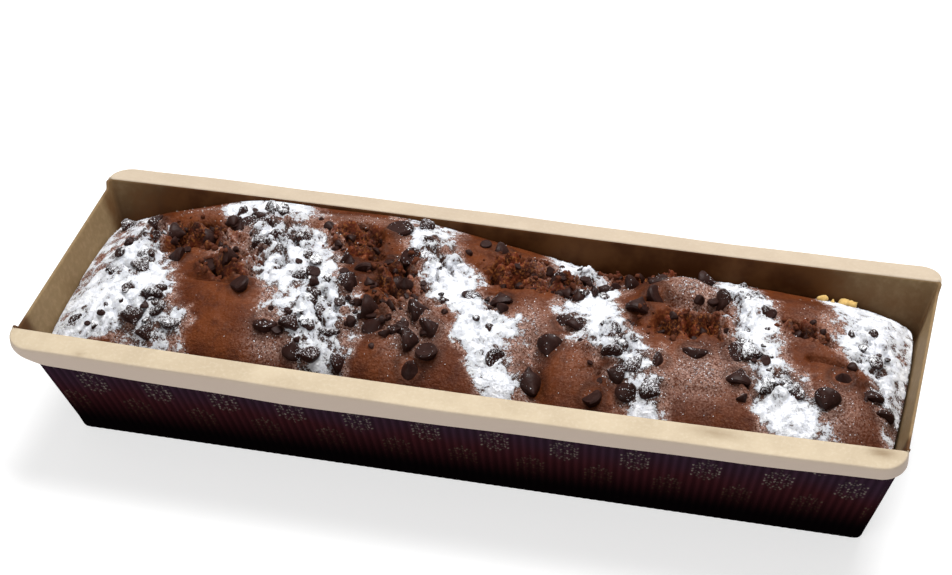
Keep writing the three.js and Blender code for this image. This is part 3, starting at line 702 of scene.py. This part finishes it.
def inside_material():
    """Inner faces of the walls: the same card, darkened by grease along the cake."""
    s = Shader("mould_inside")
    broad = s.noise(9, 3)
    fine = s.noise(1.6, 4)
    card = s.tones(fine, 0.4, 0.7, *INSIDE_TONES)
    greasy = s.tones(broad, 0.35, 0.65, *GREASE_TONES)
    grease = s.plus(s.value("grease"), s.swing(broad, 0.5))
    card = s.tones(grease, 0.15, 0.85, card, greasy)
    return s.finish(card, 0.6, 0.12, s.bump(fine, 0.08, 0.5))


FLAKE_PITCH = 18.95
FLAKE_START = -0.354  # share of a pitch from the middle of a side to a flake
FLAKE_ROWS = (12.2, 20.9)  # heights of two rows, half a pitch apart; they repeat
FLAKE_DOT = 0.42
# Dots of one twelfth of a snowflake, on or beside its arm: along the arm, away from it.
FLAKE_DOTS = [[1.0, 0], [2.1, 0], [3.2, 0], [4.2, 0], [2.7, 0.75], [3.3, 1.35]]


def snowflake(s, x, y):
    """1 on the dots of a six-armed figure around x 0, y 0, and 0 between them."""
    radius = s.math("SQRT", s.plus(s.times(x, x), s.times(y, y)))
    turn = s.math("ARCTAN2", y, x)
    sector = math.pi / 3
    folded = s.math("ABSOLUTE", s.minus(s.math("WRAP", turn, sector), sector / 2))
    out = s.times(radius, s.math("COSINE", folded))
    aside = s.times(radius, s.math("SINE", folded))
    nearest = None
    for dot_out, dot_aside in FLAKE_DOTS:
        dx = s.minus(out, dot_out)
        dy = s.minus(aside, dot_aside)
        away = s.plus(s.times(dx, dx), s.times(dy, dy))
        nearest = away if nearest is None else s.math("MINIMUM", nearest, away)
    return s.step(s.math("SQRT", nearest), FLAKE_DOT, FLAKE_DOT * 0.5)


def snowflakes(s, height):
    """Rows of snowflakes round the walls, dimmed by painted shade between the ribs and fading towards
    the foot.
    """
    rows_apart = 2 * (FLAKE_ROWS[1] - FLAKE_ROWS[0])
    flakes = []
    for shift, row in ((FLAKE_START + 0.5, FLAKE_ROWS[0]), (FLAKE_START, FLAKE_ROWS[1])):
        x = s.repeat(s.value("wrap"), shift * FLAKE_PITCH, FLAKE_PITCH)
        flakes.append(snowflake(s, x, s.repeat(height, row, rows_apart)))
    # the flakes fade towards the foot, partly as painted shade
    shown = s.times(s.math("MAXIMUM", *flakes), s.step(height, 6, 21))
    # flakes are broken up at random and dimmed between the ribs by painted shade
    return s.times(shown, s.times(s.step(s.noise(1.2, 3), 0.3, 0.62), s.value("crest")))


def print_material():
    """Outer faces: fields of dark colour, darker towards the foot partly as painted shade, with
    painted shade between the ribs and rows of dotted snowflakes.
    """
    s = Shader("mould_print")
    height = s.value("height")
    # darker towards the foot: partly the print, partly painted shade
    low = s.tones(height, 4, 19, PRINT_FOOT_AND_SHADE, PRINT_MIDDLE)
    tinge = s.plus(height, s.times(s.noise(16, 2), 10))
    body = s.tones(tinge, 20, 31, low, PRINT_TOP)
    # painted shade between the ribs
    body = s.tint(body, s.minus(1.0, s.value("crest")), 0.55, VALLEY_SHADE)
    # the ink is darker lower down, partly as painted shade
    ink = s.tones(height, 10, 22, *INK_TONES)
    colour = s.mix(snowflakes(s, height), body, ink)
    return s.finish(colour, 0.6, 0.0, s.bump(s.noise(2.0, 3), 0.05, 0.5))


# ---- Flared walls ----

def bow(x, y):
    """Outward bulge of a long wall at the rim."""
    t = x / TOP_HALF[0]
    front = -FRONT_BOW * (1 - t * t)
    back = BACK_BOW * (1 - t * t) - BACK_WAVE * np.sin(np.pi * t)
    return np.where(y < 0, front, back)


def inner_half(z):
    """Half-length and half-width of the walls' inner faces at a height."""
    t = z / RIM_HEIGHT
    skin = PAPER + RIB_DEPTH
    return tuple(foot - skin + (top - foot + skin) * t for top, foot in zip(TOP_HALF, FOOT_HALF))


RIB_SAMPLES = 6
CORNER_SAMPLES = 5


def wall_outline():
    """Samples of the walls' plan, all the way round, as one array for each of these:

    a corner's signs and the next corner's, an arm of the corner's arc, the share of the way
    between the two corners, the rib's height there from 0 to 1, and the outward normal.
    """
    samples = []
    corners = [(1, -1), (1, 1), (-1, 1), (-1, -1)]
    lengths = [FOOT_HALF[1] + TOP_HALF[1], FOOT_HALF[0] + TOP_HALF[0]] * 2
    for k, corner in enumerate(corners):
        for i in range(CORNER_SAMPLES + 1):
            angle = (k - 1 + i / CORNER_SAMPLES) * math.pi / 2
            arm = (math.cos(angle), math.sin(angle))
            samples.append((corner, corner, arm, 0.0, 0.0, arm))
        out = (round(math.cos(k * math.pi / 2)), round(math.sin(k * math.pi / 2)))
        ribs = round(lengths[k] / RIB_PITCH)
        steps = ribs * RIB_SAMPLES
        for i in range(1, steps):
            wave = 0.5 - 0.5 * math.cos(2 * math.pi * i / RIB_SAMPLES)
            samples.append((corner, corners[(k + 1) % 4], out, i / steps, wave, out))
    return [np.array(column, float) for column in zip(*samples)]


def plan_at(outline, z):
    """Plan of the walls' inner faces at a height, or at one height for each sample."""
    start, end, arm, t, _, _ = outline
    t = t[:, None]
    half_x, half_y = inner_half(z)
    inner = np.stack(np.broadcast_arrays(half_x - CORNER_RADIUS, half_y - CORNER_RADIUS), -1)
    return inner * (start * (1 - t) + end * t) + CORNER_RADIUS * arm


# Rings up the outside: height, or distance below the top, how far they stand out, and the share
# of the ribs' depth.
WALL_FOOT = [(0, -0.2, 0.1), (0.25, 0.1, 0.2), (0.8, 0.2, 0.4), (4, 0, 0.9), (9, 0, 1),
             (14, 0, 1), (19, 0, 1), (24, 0, 1), (29, 0, 1), (33, 0, 1)]
WALL_TOP = [(2.6, 0, 1), (1.8, 0, 0.6), (1.1, 0, 0.1), (0.5, 0, 0), (0.15, -0.05, 0),
            (0, -0.25, 0), (0, -0.55, 0), (0.15, -0.75, 0), (0.5, -0.8, 0)]
PRINTED_RINGS = len(WALL_FOOT) + 2
WALL_INSIDE = [34, 29, 24, 18, 12, 6, PAPER]  # heights of the rings down the inside
WALL_BELOW_RIM = 0.25
END_WALL = 3  # the end walls' tops lie within this of the mould's end
STEP_INSET = 0.9  # where the step down from the rim to an end wall begins
STEP_WIDTH = 1.2
VALLEY = 0.25  # how much print shows between the ribs, where a crest has 1; the rest there is covered by painted shade


def wall_rings(outline):
    """Rings of the walls' points, up the outside, over the top and down the inside."""
    wave, out = outline[4:]

    def ring(z, thickness, rib):
        plan = plan_at(outline, z) + out * (thickness + rib * RIB_DEPTH * wave)[:, None]
        plan[:, 1] += bow(plan[:, 0], plan[:, 1]) * z / RIM_HEIGHT
        return np.column_stack([plan, np.broadcast_to(z, len(wave))])

    plan = plan_at(outline, RIM_HEIGHT)
    at_end = np.abs(plan[:, 0]) > TOP_HALF[0] - END_WALL
    low = smooth((TOP_HALF[1] - STEP_INSET - np.abs(plan[:, 1])) / STEP_WIDTH) * at_end
    top = RIM_HEIGHT - WALL_BELOW_RIM - (END_STEP - WALL_BELOW_RIM) * low
    board = np.full(len(wave), PAPER)
    rings = [ring(z, board + proud, rib) for z, proud, rib in WALL_FOOT]
    rings += [ring(top - below, board + proud, rib) for below, proud, rib in WALL_TOP]
    return rings + [ring(z, board * 0, 0) for z in WALL_INSIDE]


def make_walls():
    """The ribbed walls and base, from the table up to the rim."""
    outline = wall_outline()
    wave, out = outline[4:]
    count = len(wave)
    rings = wall_rings(outline)
    points = np.concatenate(rings + [[[0, 0, 0], [0, 0, PAPER]]])
    order = np.arange(len(rings) * count).reshape(len(rings), count)
    faces = quads(order)
    upright = len(faces)
    faces += fan(len(points) - 2, order[0, ::-1].tolist())
    faces += fan(len(points) - 1, order[-1].tolist())
    # How far round the walls each point is, in millimetres from the middle of each side.
    plan = plan_at(outline, RIM_HEIGHT)
    around = np.where(np.abs(out[:, 0]) > np.abs(out[:, 1]), plan[:, 1] * out[:, 0],
                      -plan[:, 0] * out[:, 1])
    looks = {"wrap": np.append(np.tile(around, len(rings)), [0, 0]),
             "crest": np.append(np.tile(VALLEY + (1 - VALLEY) * wave, len(rings)), [0, 0]),
             "height": points[:, 2], "grease": grease_amount(points)}
    walls = make_piece("mould_walls", "tray", points, faces,
                       [print_material(), inside_material()], looks)
    index = np.zeros(len(faces), int)
    index[PRINTED_RINGS * count:upright] = 1
    index[upright + count:] = 1
    walls.data.polygons.foreach_set("material_index", index)
    # The flat bottom isn't shaded as if it curved up into the walls.
    walls.data.polygons.foreach_set("use_smooth", np.arange(len(faces)) < upright)


GREASE_SIDE = 24  # grease shows on the long walls, from this far off the middle
GREASE_EDGE = 6  # and is full this much further out
GREASE_BACK = 0.95
GREASE_BACK_ENDS = 0.55  # it is this much less towards the back wall's ends
GREASE_MIDDLE = -8
GREASE_REACH = 70
GREASE_FADE = 45
GREASE_FRONT = 0.7
GREASE_LOW = 0.25  # it is this much more beside the cake, from the height below downwards
GREASE_TOP = 38
GREASE_DEPTH = 12


def grease_amount(points):
    """How dark the inner card is: most along the back wall, and near the cake."""
    x, y, z = points.T
    back = smooth((y - GREASE_SIDE) / GREASE_EDGE)
    front = smooth((-y - GREASE_SIDE) / GREASE_EDGE)
    near_cake = smooth((GREASE_TOP - z) / GREASE_DEPTH)
    ends = smooth((np.abs(x - GREASE_MIDDLE) - GREASE_REACH) / GREASE_FADE)
    along_back = back * (GREASE_BACK - GREASE_BACK_ENDS * ends)
    return np.clip(along_back + front * GREASE_FRONT + GREASE_LOW * near_cake, 0, 1)


# ---- Folded rim ----

RIM_SAMPLES = 150
RIM_CORNER = 16
RIM_SIDE = 3  # points on each short edge of a flap
RIM_RADIUS = RIM_WIDTH - 1
RIM_WAVES = [[17, 0.12, 1], [6.3, 0.08, 2]]  # length, height, phase
# Rows over the wall's top: distance below the rim's top, and how far they lie outwards.
RIM_START = [(1.6, 0.0), (0.7, 0.0), (0.3, 0.08), (0.08, 0.25), (0.0, 0.5)]
FLAP_SHARES = (0.12, 0.3, 0.5, 0.7, 0.88, 1.0)
FOLD_STEPS = 6
FOLD_SHADE = 0.85  # the lips' painted shade begins on the fold, where it turns away from the light
LIP_SHARES = (0.3, 0.6, 0.9)
LIP_BEVEL = 0.12
LIP_EDGE = [(0.0, LIP_BEVEL), (LIP_BEVEL, 0.0), (LIP_PAPER - LIP_BEVEL, 0.0),
            (LIP_PAPER, LIP_BEVEL)]
LIP_BACK_SHARES = (0.4, 1.0)
UNDER_FOLD = 0.4  # the fold's inside lies this far below the flap
UNDER_SHARES = (0.9, 0.5, 0.2)
UNDER_START = 0.45  # how far outwards the flap's underside meets the wall
BACK_TONE = 0.4  # the back rim's colour is this much nearer the lips' painted shade colour
# Marks on the front rim: x, y, half-length, half-width, strength.
STAINS = [[68.8, -38.2, 6, 1.8, 0.7], [109, -37.0, 3.2, 1.5, 1.1], [-94.8, -41.4, 0.9, 0.9, 0.5]]


def rim_path():
    """Plan of a flap's free edges, from its left end round to its right, and outward normals."""
    centre = np.array([RIM_RADIUS - RIM_REACH, TOP_HALF[1] + RIM_WIDTH - RIM_RADIUS])
    side = np.full((RIM_SIDE, 2), (-RIM_REACH, TOP_HALF[1]))
    side[:, 1] += (centre[1] - TOP_HALF[1]) * np.arange(RIM_SIDE) / RIM_SIDE
    angle = math.pi - np.arange(RIM_CORNER + 1) / RIM_CORNER * math.pi / 2
    arm = np.column_stack([np.cos(angle), np.sin(angle)])
    left = np.vstack([side, centre + RIM_RADIUS * arm])
    left_normal = np.vstack([np.tile([-1, 0], (RIM_SIDE, 1)), arm])
    run = -centre[0] * (2 * np.arange(1, RIM_SAMPLES) / RIM_SAMPLES - 1)
    middle = np.column_stack([run, np.full(len(run), TOP_HALF[1] + RIM_WIDTH)])
    mirror = np.array([-1, 1])
    points = np.vstack([left, middle, left[::-1] * mirror])
    return points, np.vstack([left_normal, np.tile([0, 1], (len(run), 1)),
                              left_normal[::-1] * mirror])


def rim_rows():
    """A flap's cross-section: rows of plan points, their height, and the share of the lips' painted
    shade.

    They run over the wall, across the flap, round the fold, down the lip and back underneath.
    """
    edge, normal = rim_path()
    top = RIM_HEIGHT
    under = top - PAPER
    bottom = under - LIP_DROP
    share = np.linspace(-1, 1, len(edge))
    spine = np.column_stack([share * RIM_REACH, np.full(len(edge), TOP_HALF[1])])
    start = spine + [0, RIM_START[-1][1]]
    end = edge - FOLD * normal
    rows = [(spine + [0, outward], top - drop, 0) for drop, outward in RIM_START]
    rows += [(start * (1 - t) + end * t, top, 0) for t in FLAP_SHARES]
    for i in range(1, FOLD_STEPS + 1):
        angle = i / FOLD_STEPS * math.pi / 2
        rows.append((edge - FOLD * (1 - math.sin(angle)) * normal,
                     top - FOLD * (1 - math.cos(angle)), i / FOLD_STEPS * FOLD_SHADE))
    rows += [(edge, top - FOLD + (bottom + FOLD - top) * t, 1) for t in LIP_SHARES]
    rows += [(edge - inset * normal, bottom + rise, 1) for inset, rise in LIP_EDGE]
    rows += [(edge - LIP_PAPER * normal, bottom + (under - UNDER_FOLD - bottom) * t, 1)
             for t in LIP_BACK_SHARES]
    rows += [(start * (1 - t) + end * t, under, 1) for t in UNDER_SHARES]
    rows += [(spine + [0, UNDER_START], z, 1) for z in (under, top - RIM_START[0][0])]
    return rows


def bend_rim(side, plan, z):
    """A row of points with the wall's bow, the flap's droop and waves, and the lip's uneven depth."""
    x = plan[:, 0]
    s = x / TOP_HALF[0]
    away = (plan[:, 1] - TOP_HALF[1]) / RIM_WIDTH
    low = np.maximum((RIM_HEIGHT - PAPER - z) / LIP_DROP, 0)
    y = side * plan[:, 1] + bow(x, np.full(len(x), side))
    wave = sum(height * np.sin(x / length + phase * side) for length, height, phase in RIM_WAVES)
    z = z - RIM_DROOP * np.maximum(away, 0) - low * LIP_SAG * np.maximum(1 - s * s, 0)
    end = np.where((x > 0) & (side < 0), LIP_FRONT_RIGHT, LIP_END)
    z = z + low * LIP_DROP * (1 - end) * (1 - smooth((RIM_REACH - np.abs(x)) / LIP_TAPER))
    if side < 0:
        z = z + low * LIP_RISE * smooth((x - LIP_RISE_FROM) / LIP_RISE_OVER)
    return np.column_stack([x, y, z + wave * away])


def make_rim(side):
    """A rim flap with its turned-down lip, at the front (-1) or the back (1)."""
    rows = rim_rows()
    count = len(rows[0][0])
    points = np.concatenate([bend_rim(side, plan, z) for plan, z, _ in rows])
    order = np.arange(len(points)).reshape(len(rows), count)
    faces = quads(np.vstack([order, order[:1]]), closed=False)
    faces += [order[:, 0].tolist(), order[::-1, -1].tolist()]
    if side > 0:
        faces = [face[::-1] for face in faces]
    # share of the lips' painted shade; the back rim takes some of it all over
    lips = np.maximum(np.repeat([share for _, _, share in rows], count),
                      0 if side < 0 else BACK_TONE)
    stains = STAINS if side < 0 else []
    stain = np.clip(add_hills(np.zeros(len(points)), *points[:, :2].T, stains), 0, 1)
    name = "mould_rim_front" if side < 0 else "mould_rim_back"
    make_piece(name, "tray", points, faces, [rim_material()], {"lip": lips, "stain": stain})


# ---- Cake ----

CRUST_SIDES = (0.08, 0.35, 0.7, 1.0)  # rings down the cake's sides, as shares of the way


def crust_plan(u, v):
    """Plan of the crust from -1 to 1 along and across, clear of the walls and round at corners."""
    end_height = crust(np.sign(u + 1e-9) * DOME_HALF[0], v * DOME_HALF[1])
    half_x = inner_half(end_height)[0] - GAP
    x = u * half_x
    side_height = crust(x, np.sign(v + 1e-9) * DOME_HALF[1])
    half_y = inner_half(side_height)[1] - GAP
    from_end = np.maximum(np.abs(x) - (half_x - CAKE_RADIUS), 0)
    half_y = half_y - CAKE_RADIUS + np.sqrt(np.maximum(CAKE_RADIUS ** 2 - from_end ** 2, 0))
    return x, v * half_y + np.abs(v) * bow(x, v) * side_height / RIM_HEIGHT


def crust_sides(edge):
    """Rings from the crust's edge down to the bottom, inside the walls."""
    full = np.array(inner_half(edge[:, 2])) - GAP
    rings = []
    for share in CRUST_SIDES:
        z = edge[:, 2] * (1 - share) + (PAPER + GAP) * share
        scale = np.array(inner_half(z)) - GAP
        rings.append(np.column_stack([edge[:, 0] * scale[0] / full[0],
                                      edge[:, 1] * scale[1] / full[1], z]))
    return rings


def make_crust():
    """The cake: a fine mesh of its crust, closed by its sides and bottom inside the mould."""
    nx = round(2 * DOME_HALF[0] / CRUST_PITCH)
    ny = round(2 * DOME_HALF[1] / CRUST_PITCH)
    u, v = np.meshgrid(np.linspace(-1, 1, nx + 1), np.linspace(-1, 1, ny + 1), indexing="ij")
    x, y = crust_plan(u.ravel(), v.ravel())
    z, looks = fine_crust(x, y)
    points = np.column_stack([x, y, z])
    grid = np.arange(len(points)).reshape(nx + 1, ny + 1)
    border = np.concatenate([grid[:-1, 0], grid[-1, :-1], grid[:0:-1, -1], grid[0, :0:-1]])
    count = len(border)
    rows = [border] + [len(points) + r * count + np.arange(count) for r in range(len(CRUST_SIDES))]
    points = np.vstack([points] + crust_sides(points[border]) + [[0, 0, PAPER + GAP]])
    faces = quads(grid.T, closed=False) + quads(rows[::-1])
    faces += fan(len(points) - 1, rows[-1][::-1].tolist())
    looks = {name: np.append(values, np.zeros(len(points) - len(values)))
             for name, values in looks.items()}
    return make_piece("cake_crust", "cake", points, faces, [crust_material()], looks)


def spot(random, a, b):
    """A drawn place in an ellipse of that half-length and half-width."""
    turn = 2 * math.pi * random()
    reach = math.sqrt(random())
    return a * reach * math.cos(turn), b * reach * math.sin(turn)


def size_between(random, bounds, power=1):
    """A drawn size, more often near the smaller bound where the power is above 1."""
    return bounds[0] + (bounds[1] - bounds[0]) * random() ** power


def all_chips():
    """The listed chips, and the handfuls drawn between them."""
    random = make_random(CHIP_SEED)
    chips = [list(chip) for chip in CHIPS]
    for cx, cy, a, b, count in HANDFULS:
        for _ in range(count):
            for _ in range(CHIP_TRIES):
                dx, dy = spot(random, a, b)
                x = cx + dx - HANDFUL_SLANT * dy
                y = cy + dy
                diameter = size_between(random, CHIP_SIZES)
                lean = 180 * random()
                heading = 360 * random()
                inside = abs(x) < CHIP_MARGIN[0] and abs(y) < CHIP_MARGIN[1]
                free = all(math.hypot(c[0] - x, c[1] - y)
                           > CHIP_SPACING * (c[2] + diameter) / 2 + CHIP_GAP for c in chips)
                if inside and free:
                    chips.append([x, y, diameter, lean, heading])
                    break
    return chips


def chip_shape(random, diameter, lean, heading):
    """A chip's points around its middle: a soft drop, a little bent, uneven and flattened."""
    rings = []
    curl = CHIP_BEND * diameter * (random() - 0.5)
    stretch = 1 + CHIP_STRETCH * (random() - 0.5)
    phase = 2 * math.pi * random()
    turn = np.arange(CHIP_TURNS) / CHIP_TURNS * 2 * math.pi
    uneven = 1 + CHIP_OVAL * np.sin(2 * turn + phase)
    uneven = uneven + CHIP_TRIANGULAR * np.sin(3 * turn + 2 * phase)
    for r, z in np.array(CHIP_PROFILE) * diameter / 2:
        bend = curl * max(z, 0) / diameter * 2
        rings.append(np.column_stack([r * uneven * np.cos(turn) * stretch + bend,
                                      r * uneven * np.sin(turn) / stretch,
                                      np.full(CHIP_TURNS, z)]))
    shape = np.concatenate(rings)
    for _ in range(CHIP_FACETS):
        side = np.array([random() - 0.5, random() - 0.5, random() - 0.3])
        side /= np.linalg.norm(side)
        over = shape @ side - CHIP_FACET_AT * diameter
        shape -= CHIP_FACET_DEPTH * np.maximum(over, 0)[:, None] * side
    spin = Matrix.Rotation(math.radians(heading), 3, "Z") @ Matrix.Rotation(
        math.radians(lean), 3, "Y")
    return shape @ np.array(spin).T


DUST_LEAST = 0.45  # share of the sugar around a chip that lies on it
DUST_SPREAD = 0.5
DUST_ANYWHERE = 0.12
DUST_DEPTH = 0.55  # it thins out down to here below a chip's middle, in diameters


def chocolate(name, chips, surface, lifts, random):
    """One piece of many chips on a surface, with the sugar that lies on each."""
    x, y, diameter, lean, heading = np.array(chips).T
    height = surface(x, y) + lifts * diameter
    sugar = sugar_amount(x, y)
    shapes = []
    dust = []
    for n in range(len(chips)):
        shape = chip_shape(random, diameter[n], lean[n], heading[n])
        amount = sugar[n] * (DUST_LEAST + DUST_SPREAD * random()) + DUST_ANYWHERE * random()
        dust.append(min(1.0, amount) * np.clip(shape[:, 2] / diameter[n] + DUST_DEPTH, 0, 1))
        shapes.append(shape + [x[n], y[n], height[n]])
    size = len(shapes[0])
    faces = copies(quads(np.arange(size).reshape(-1, CHIP_TURNS)), size, len(shapes))
    return make_piece(name, "cake", np.concatenate(shapes), faces, [chip_material()],
                      {"dust": np.concatenate(dust)}, sharp=CHIP_SHARP)


def make_chips():
    chips = all_chips()
    lifts = np.resize(CHIP_LIFTS, len(chips))
    return chocolate("chocolate_chips", chips, crust, lifts, make_random(CHIP_SEED + 1))


BITS = 190
BIT_SIZES = (1.6, 3.4)
BIT_PLACED = 3.3
BIT_CLUSTERED = (1.6, 4.2)
BIT_LIFT = 0.05
# Clusters of small chips: x, y, half-length, half-width, how many.
BIT_CLUSTERS = [
    [-23, -11, 11, 10, 26], [-38, -2, 7, 9, 8], [25, 14, 5, 7, 12], [73, -6, 6, 4, 8],
    [-70, 20, 6, 7, 8], [-86, -18, 7, 7, 8], [-45, -20, 7, 8, 8],
]
# Small chips that lie where the photo shows them.
BIT_PLACES = [
    (-36, 5.2), (-29.3, 2.7), (-4.4, 25.5), (-72.8, 20.9), (-72.5, 25.4), (-28.9, -17.6),
    (-24.6, -15.6), (-19.2, -20.9), (-9.7, -17.1), (78.8, -16.4), (82.4, -15.2), (86, -16.2),
    (55.7, 13.1), (59.2, 13.1), (-51.4, 10.5), (-46.2, 20.6), (25.2, 17.3), (25, 8.7),
    (-65.6, 21.2), (-61.8, 27.6), (-99.4, 2.1), (-99.3, -4.5),
]


def make_bits():
    """Small chips and broken bits between the chips, where the crust is broken or open."""
    random = make_random(CHIP_SEED + 2)
    fields = BROKEN + CRAGS
    chips = [[x, y, BIT_PLACED, 180 * random(), 360 * random()] for x, y in BIT_PLACES]

    def strew(cx, cy, a, b, sizes):
        dx, dy = spot(random, a, b)
        x = cx + dx
        y = cy + dy
        diameter = size_between(random, sizes, 2)
        if abs(x) < CHIP_MARGIN[0] and abs(y) < CHIP_MARGIN[1]:
            chips.append([x, y, diameter, 180 * random(), 360 * random()])

    while len(chips) < BITS:
        strew(*fields[int(len(fields) * random())][:4], BIT_SIZES)
    for cx, cy, a, b, count in BIT_CLUSTERS:
        for _ in range(count):
            strew(cx, cy, a, b, BIT_CLUSTERED)
    chocolate("chocolate_bits", chips, lambda x, y: fine_crust(x, y)[0], BIT_LIFT, random)


# ---- Scattered grains and crumbs ----

DROP_FROM = 60  # a height above everything
GRAIN = np.array([[1, 1, 1], [1, -1, -1], [-1, 1, -1], [-1, -1, 1]]) / 1.5
GRAIN_FACES = [(0, 1, 2), (0, 3, 1), (0, 2, 3), (1, 3, 2)]
GRAINS = 44000
GRAIN_TRIES = 150000
GRAIN_KINDS = 24
GRAIN_STRETCH = (0.7, 1.2)
GRAIN_LIFT = 0.4
GRAIN_FIELD = (111, 34)
GRAIN_SIZES = (0.07, 0.2)
GRAIN_SHARE = 0.8
GRAIN_POWER = 1.5
GRAIN_STRAYS = 0.002
GRAIN_STEEPEST = 0.35  # least upward part of the normal that a grain stays on
GRAIN_SEED = 90210


def surface_tree(pieces):
    """A tree for finding where a vertical line meets the pieces, in metres."""
    vertices = []
    faces = []
    for piece in pieces:
        first = len(vertices)
        vertices += [v.co[:] for v in piece.data.vertices]
        faces += [[first + k for k in p.vertices] for p in piece.data.polygons]
    return BVHTree.FromPolygons(vertices, faces)


def drop(tree, x, y):
    """Where a vertical line first meets the pieces from above, and the normal there."""
    start = Vector(to_frame([x, y, DROP_FROM]))
    hit, normal, _, _ = tree.ray_cast(start, Vector((0, 0, -1)))
    if hit is None:
        return None, None
    return np.array(hit) * 1000 - [0, Y_SHIFT, 0], normal


def make_grains(tree):
    """Grains and small clumps of sugar, thickest in the bands and along their fringes."""
    draws = np.random.default_rng(GRAIN_SEED)
    x, y = (draws.uniform(-half, half, GRAIN_TRIES) for half in GRAIN_FIELD)
    likely = GRAIN_SHARE * sugar_amount(x, y) ** GRAIN_POWER + GRAIN_STRAYS
    kept = draws.random(GRAIN_TRIES) < likely
    shapes = []
    for _ in range(GRAIN_KINDS):
        turn = any_turn(draws)
        turn *= np.linalg.det(turn)
        shapes.append(GRAIN * draws.uniform(*GRAIN_STRETCH, 3) @ turn)
    points = []
    for gx, gy in zip(x[kept], y[kept]):
        if len(points) == GRAINS:
            break
        hit, normal = drop(tree, gx, gy)
        if hit is None or normal.z < GRAIN_STEEPEST:
            continue
        size = size_between(draws.random, GRAIN_SIZES, 3)
        shape = shapes[draws.integers(GRAIN_KINDS)]
        points.append(shape * size + hit + [0, 0, GRAIN_LIFT * size])
    faces = copies(GRAIN_FACES, len(GRAIN), len(points))
    make_piece("sugar_grains", "cake", np.concatenate(points), faces, [sugar_material()],
               flat=True)


def any_turn(draws):
    return np.linalg.qr(draws.normal(size=(3, 3)))[0]


def lump_shape():
    """A unit ball of 80 faces, as points and faces."""
    ball = bmesh.new()
    bmesh.ops.create_icosphere(ball, subdivisions=2, radius=1)
    points = np.array([v.co[:] for v in ball.verts])
    faces = [tuple(v.index for v in f.verts) for f in ball.faces]
    ball.free()
    return points, faces


CRUMBS = 420
CRUMB_SIZES = (0.25, 0.9)
CRUMB_SPREAD = 1.1  # they lie this far out, in sizes of a crag
CRUMB_UNEVEN = (0.72, 1.22)
CRUMB_STRETCH = (1.2, 0.9, 0.8)
CRUMB_LIFT = 0.3
CRUMB_SEED = 515
# Golden crumbs by the back wall: x, y, half-size.
GOLDEN = [[85.2, 31.3, 1.4], [91.2, 31.3, 1.6], [93.0, 31.2, 1.4], [88.0, 31.0, 0.6]]


def make_crumbs(tree):
    """Loose crumbs in the crags, and a few golden ones by the back wall."""
    draws = np.random.default_rng(CRUMB_SEED)
    ball, ball_faces = lump_shape()
    places = [[x, y, size, 1.0] for x, y, size in GOLDEN]
    while len(places) < CRUMBS:
        cx, cy, a, b, _ = CRAGS[draws.integers(len(CRAGS))]
        dx, dy = spot(draws.random, CRUMB_SPREAD * a, CRUMB_SPREAD * b)
        places.append([cx + dx, cy + dy, size_between(draws.random, CRUMB_SIZES, 2), 0])
    points = []
    for x, y, size, _ in places:
        hit, _ = drop(tree, x, y)
        turn = any_turn(draws)
        shape = ball * draws.uniform(*CRUMB_UNEVEN, (len(ball), 1)) * CRUMB_STRETCH @ turn
        points.append(shape * size + hit + [0, 0, CRUMB_LIFT * size])
    faces = copies(ball_faces, len(ball), len(places))
    golden = np.repeat([place[3] for place in places], len(ball))
    make_piece("crumbs", "cake", np.concatenate(points), faces, [crumb_material()],
               {"golden": golden})


# ---- Stage ----

def make_camera():
    data = bpy.data.cameras.new("camera")
    data.lens = CAMERA_LENS
    data.sensor_width = 36
    data.sensor_fit = "HORIZONTAL"
    camera = add_object("camera", data)
    turn = (Matrix.Rotation(math.radians(CAMERA_AZIMUTH), 4, "Z")
            @ Matrix.Rotation(math.radians(90 - CAMERA_ELEVATION), 4, "X")
            @ Matrix.Rotation(math.radians(CAMERA_ROLL), 4, "Z"))
    camera.matrix_world = Matrix.Translation(Vector(to_frame(CAMERA_PLACE))) @ turn
    bpy.context.scene.camera = camera


AIM = (0, 0, 0.03)
KEY_LIGHT = ((0.10, 0.26, 0.84), (0.6, 0.45), 10.5)  # place, size, energy
FILL_LIGHT = ((-0.35, -0.9, 0.55), (0.8, 0.6), 3.5)
STUDIO_GLOW = 0.3
FLOOR_GLOW = 0.62
FLOOR_REACH = 2.5


def area_light(name, place, size, energy):
    data = bpy.data.lights.new(name, "AREA")
    data.shape = "RECTANGLE"
    data.size, data.size_y = size
    data.energy = energy
    light = add_object(name, data)
    light.location = place
    light.rotation_euler = (Vector(AIM) - Vector(place)).to_track_quat("-Z", "Y").to_euler()


def make_stage():
    """A plain pale floor, two soft lights and an even glow all round."""
    s = Shader("floor")
    s.plug(s.surface.inputs["Emission Color"], (1.0, 1.0, 1.0))
    s.plug(s.surface.inputs["Emission Strength"], FLOOR_GLOW)
    mesh = bpy.data.meshes.new("floor")
    corners = [(-1, -1), (1, -1), (1, 1), (-1, 1)]
    mesh.from_pydata([(x * FLOOR_REACH, y * FLOOR_REACH, 0) for x, y in corners], [],
                     [(0, 1, 2, 3)])
    mesh.materials.append(s.finish(s.mix(s.noise(60, 2), *FLOOR_TONES), 0.8, 0.5))
    add_object("floor", mesh)
    area_light("key", *KEY_LIGHT)
    area_light("fill", *FILL_LIGHT)
    world = bpy.data.worlds.new("studio")
    world.use_nodes = True
    glow = world.node_tree.nodes["Background"]
    glow.inputs["Color"].default_value = (1, 1, 1, 1)
    glow.inputs["Strength"].default_value = STUDIO_GLOW
    bpy.context.scene.world = world
    bpy.context.scene.view_settings.view_transform = "Standard"


make_camera()
make_stage()
make_walls()
make_rim(-1)
make_rim(1)
cake = make_crust()
chips = make_chips()
top_tree = surface_tree([cake, chips])
make_grains(top_tree)
make_crumbs(top_tree)
make_bits()
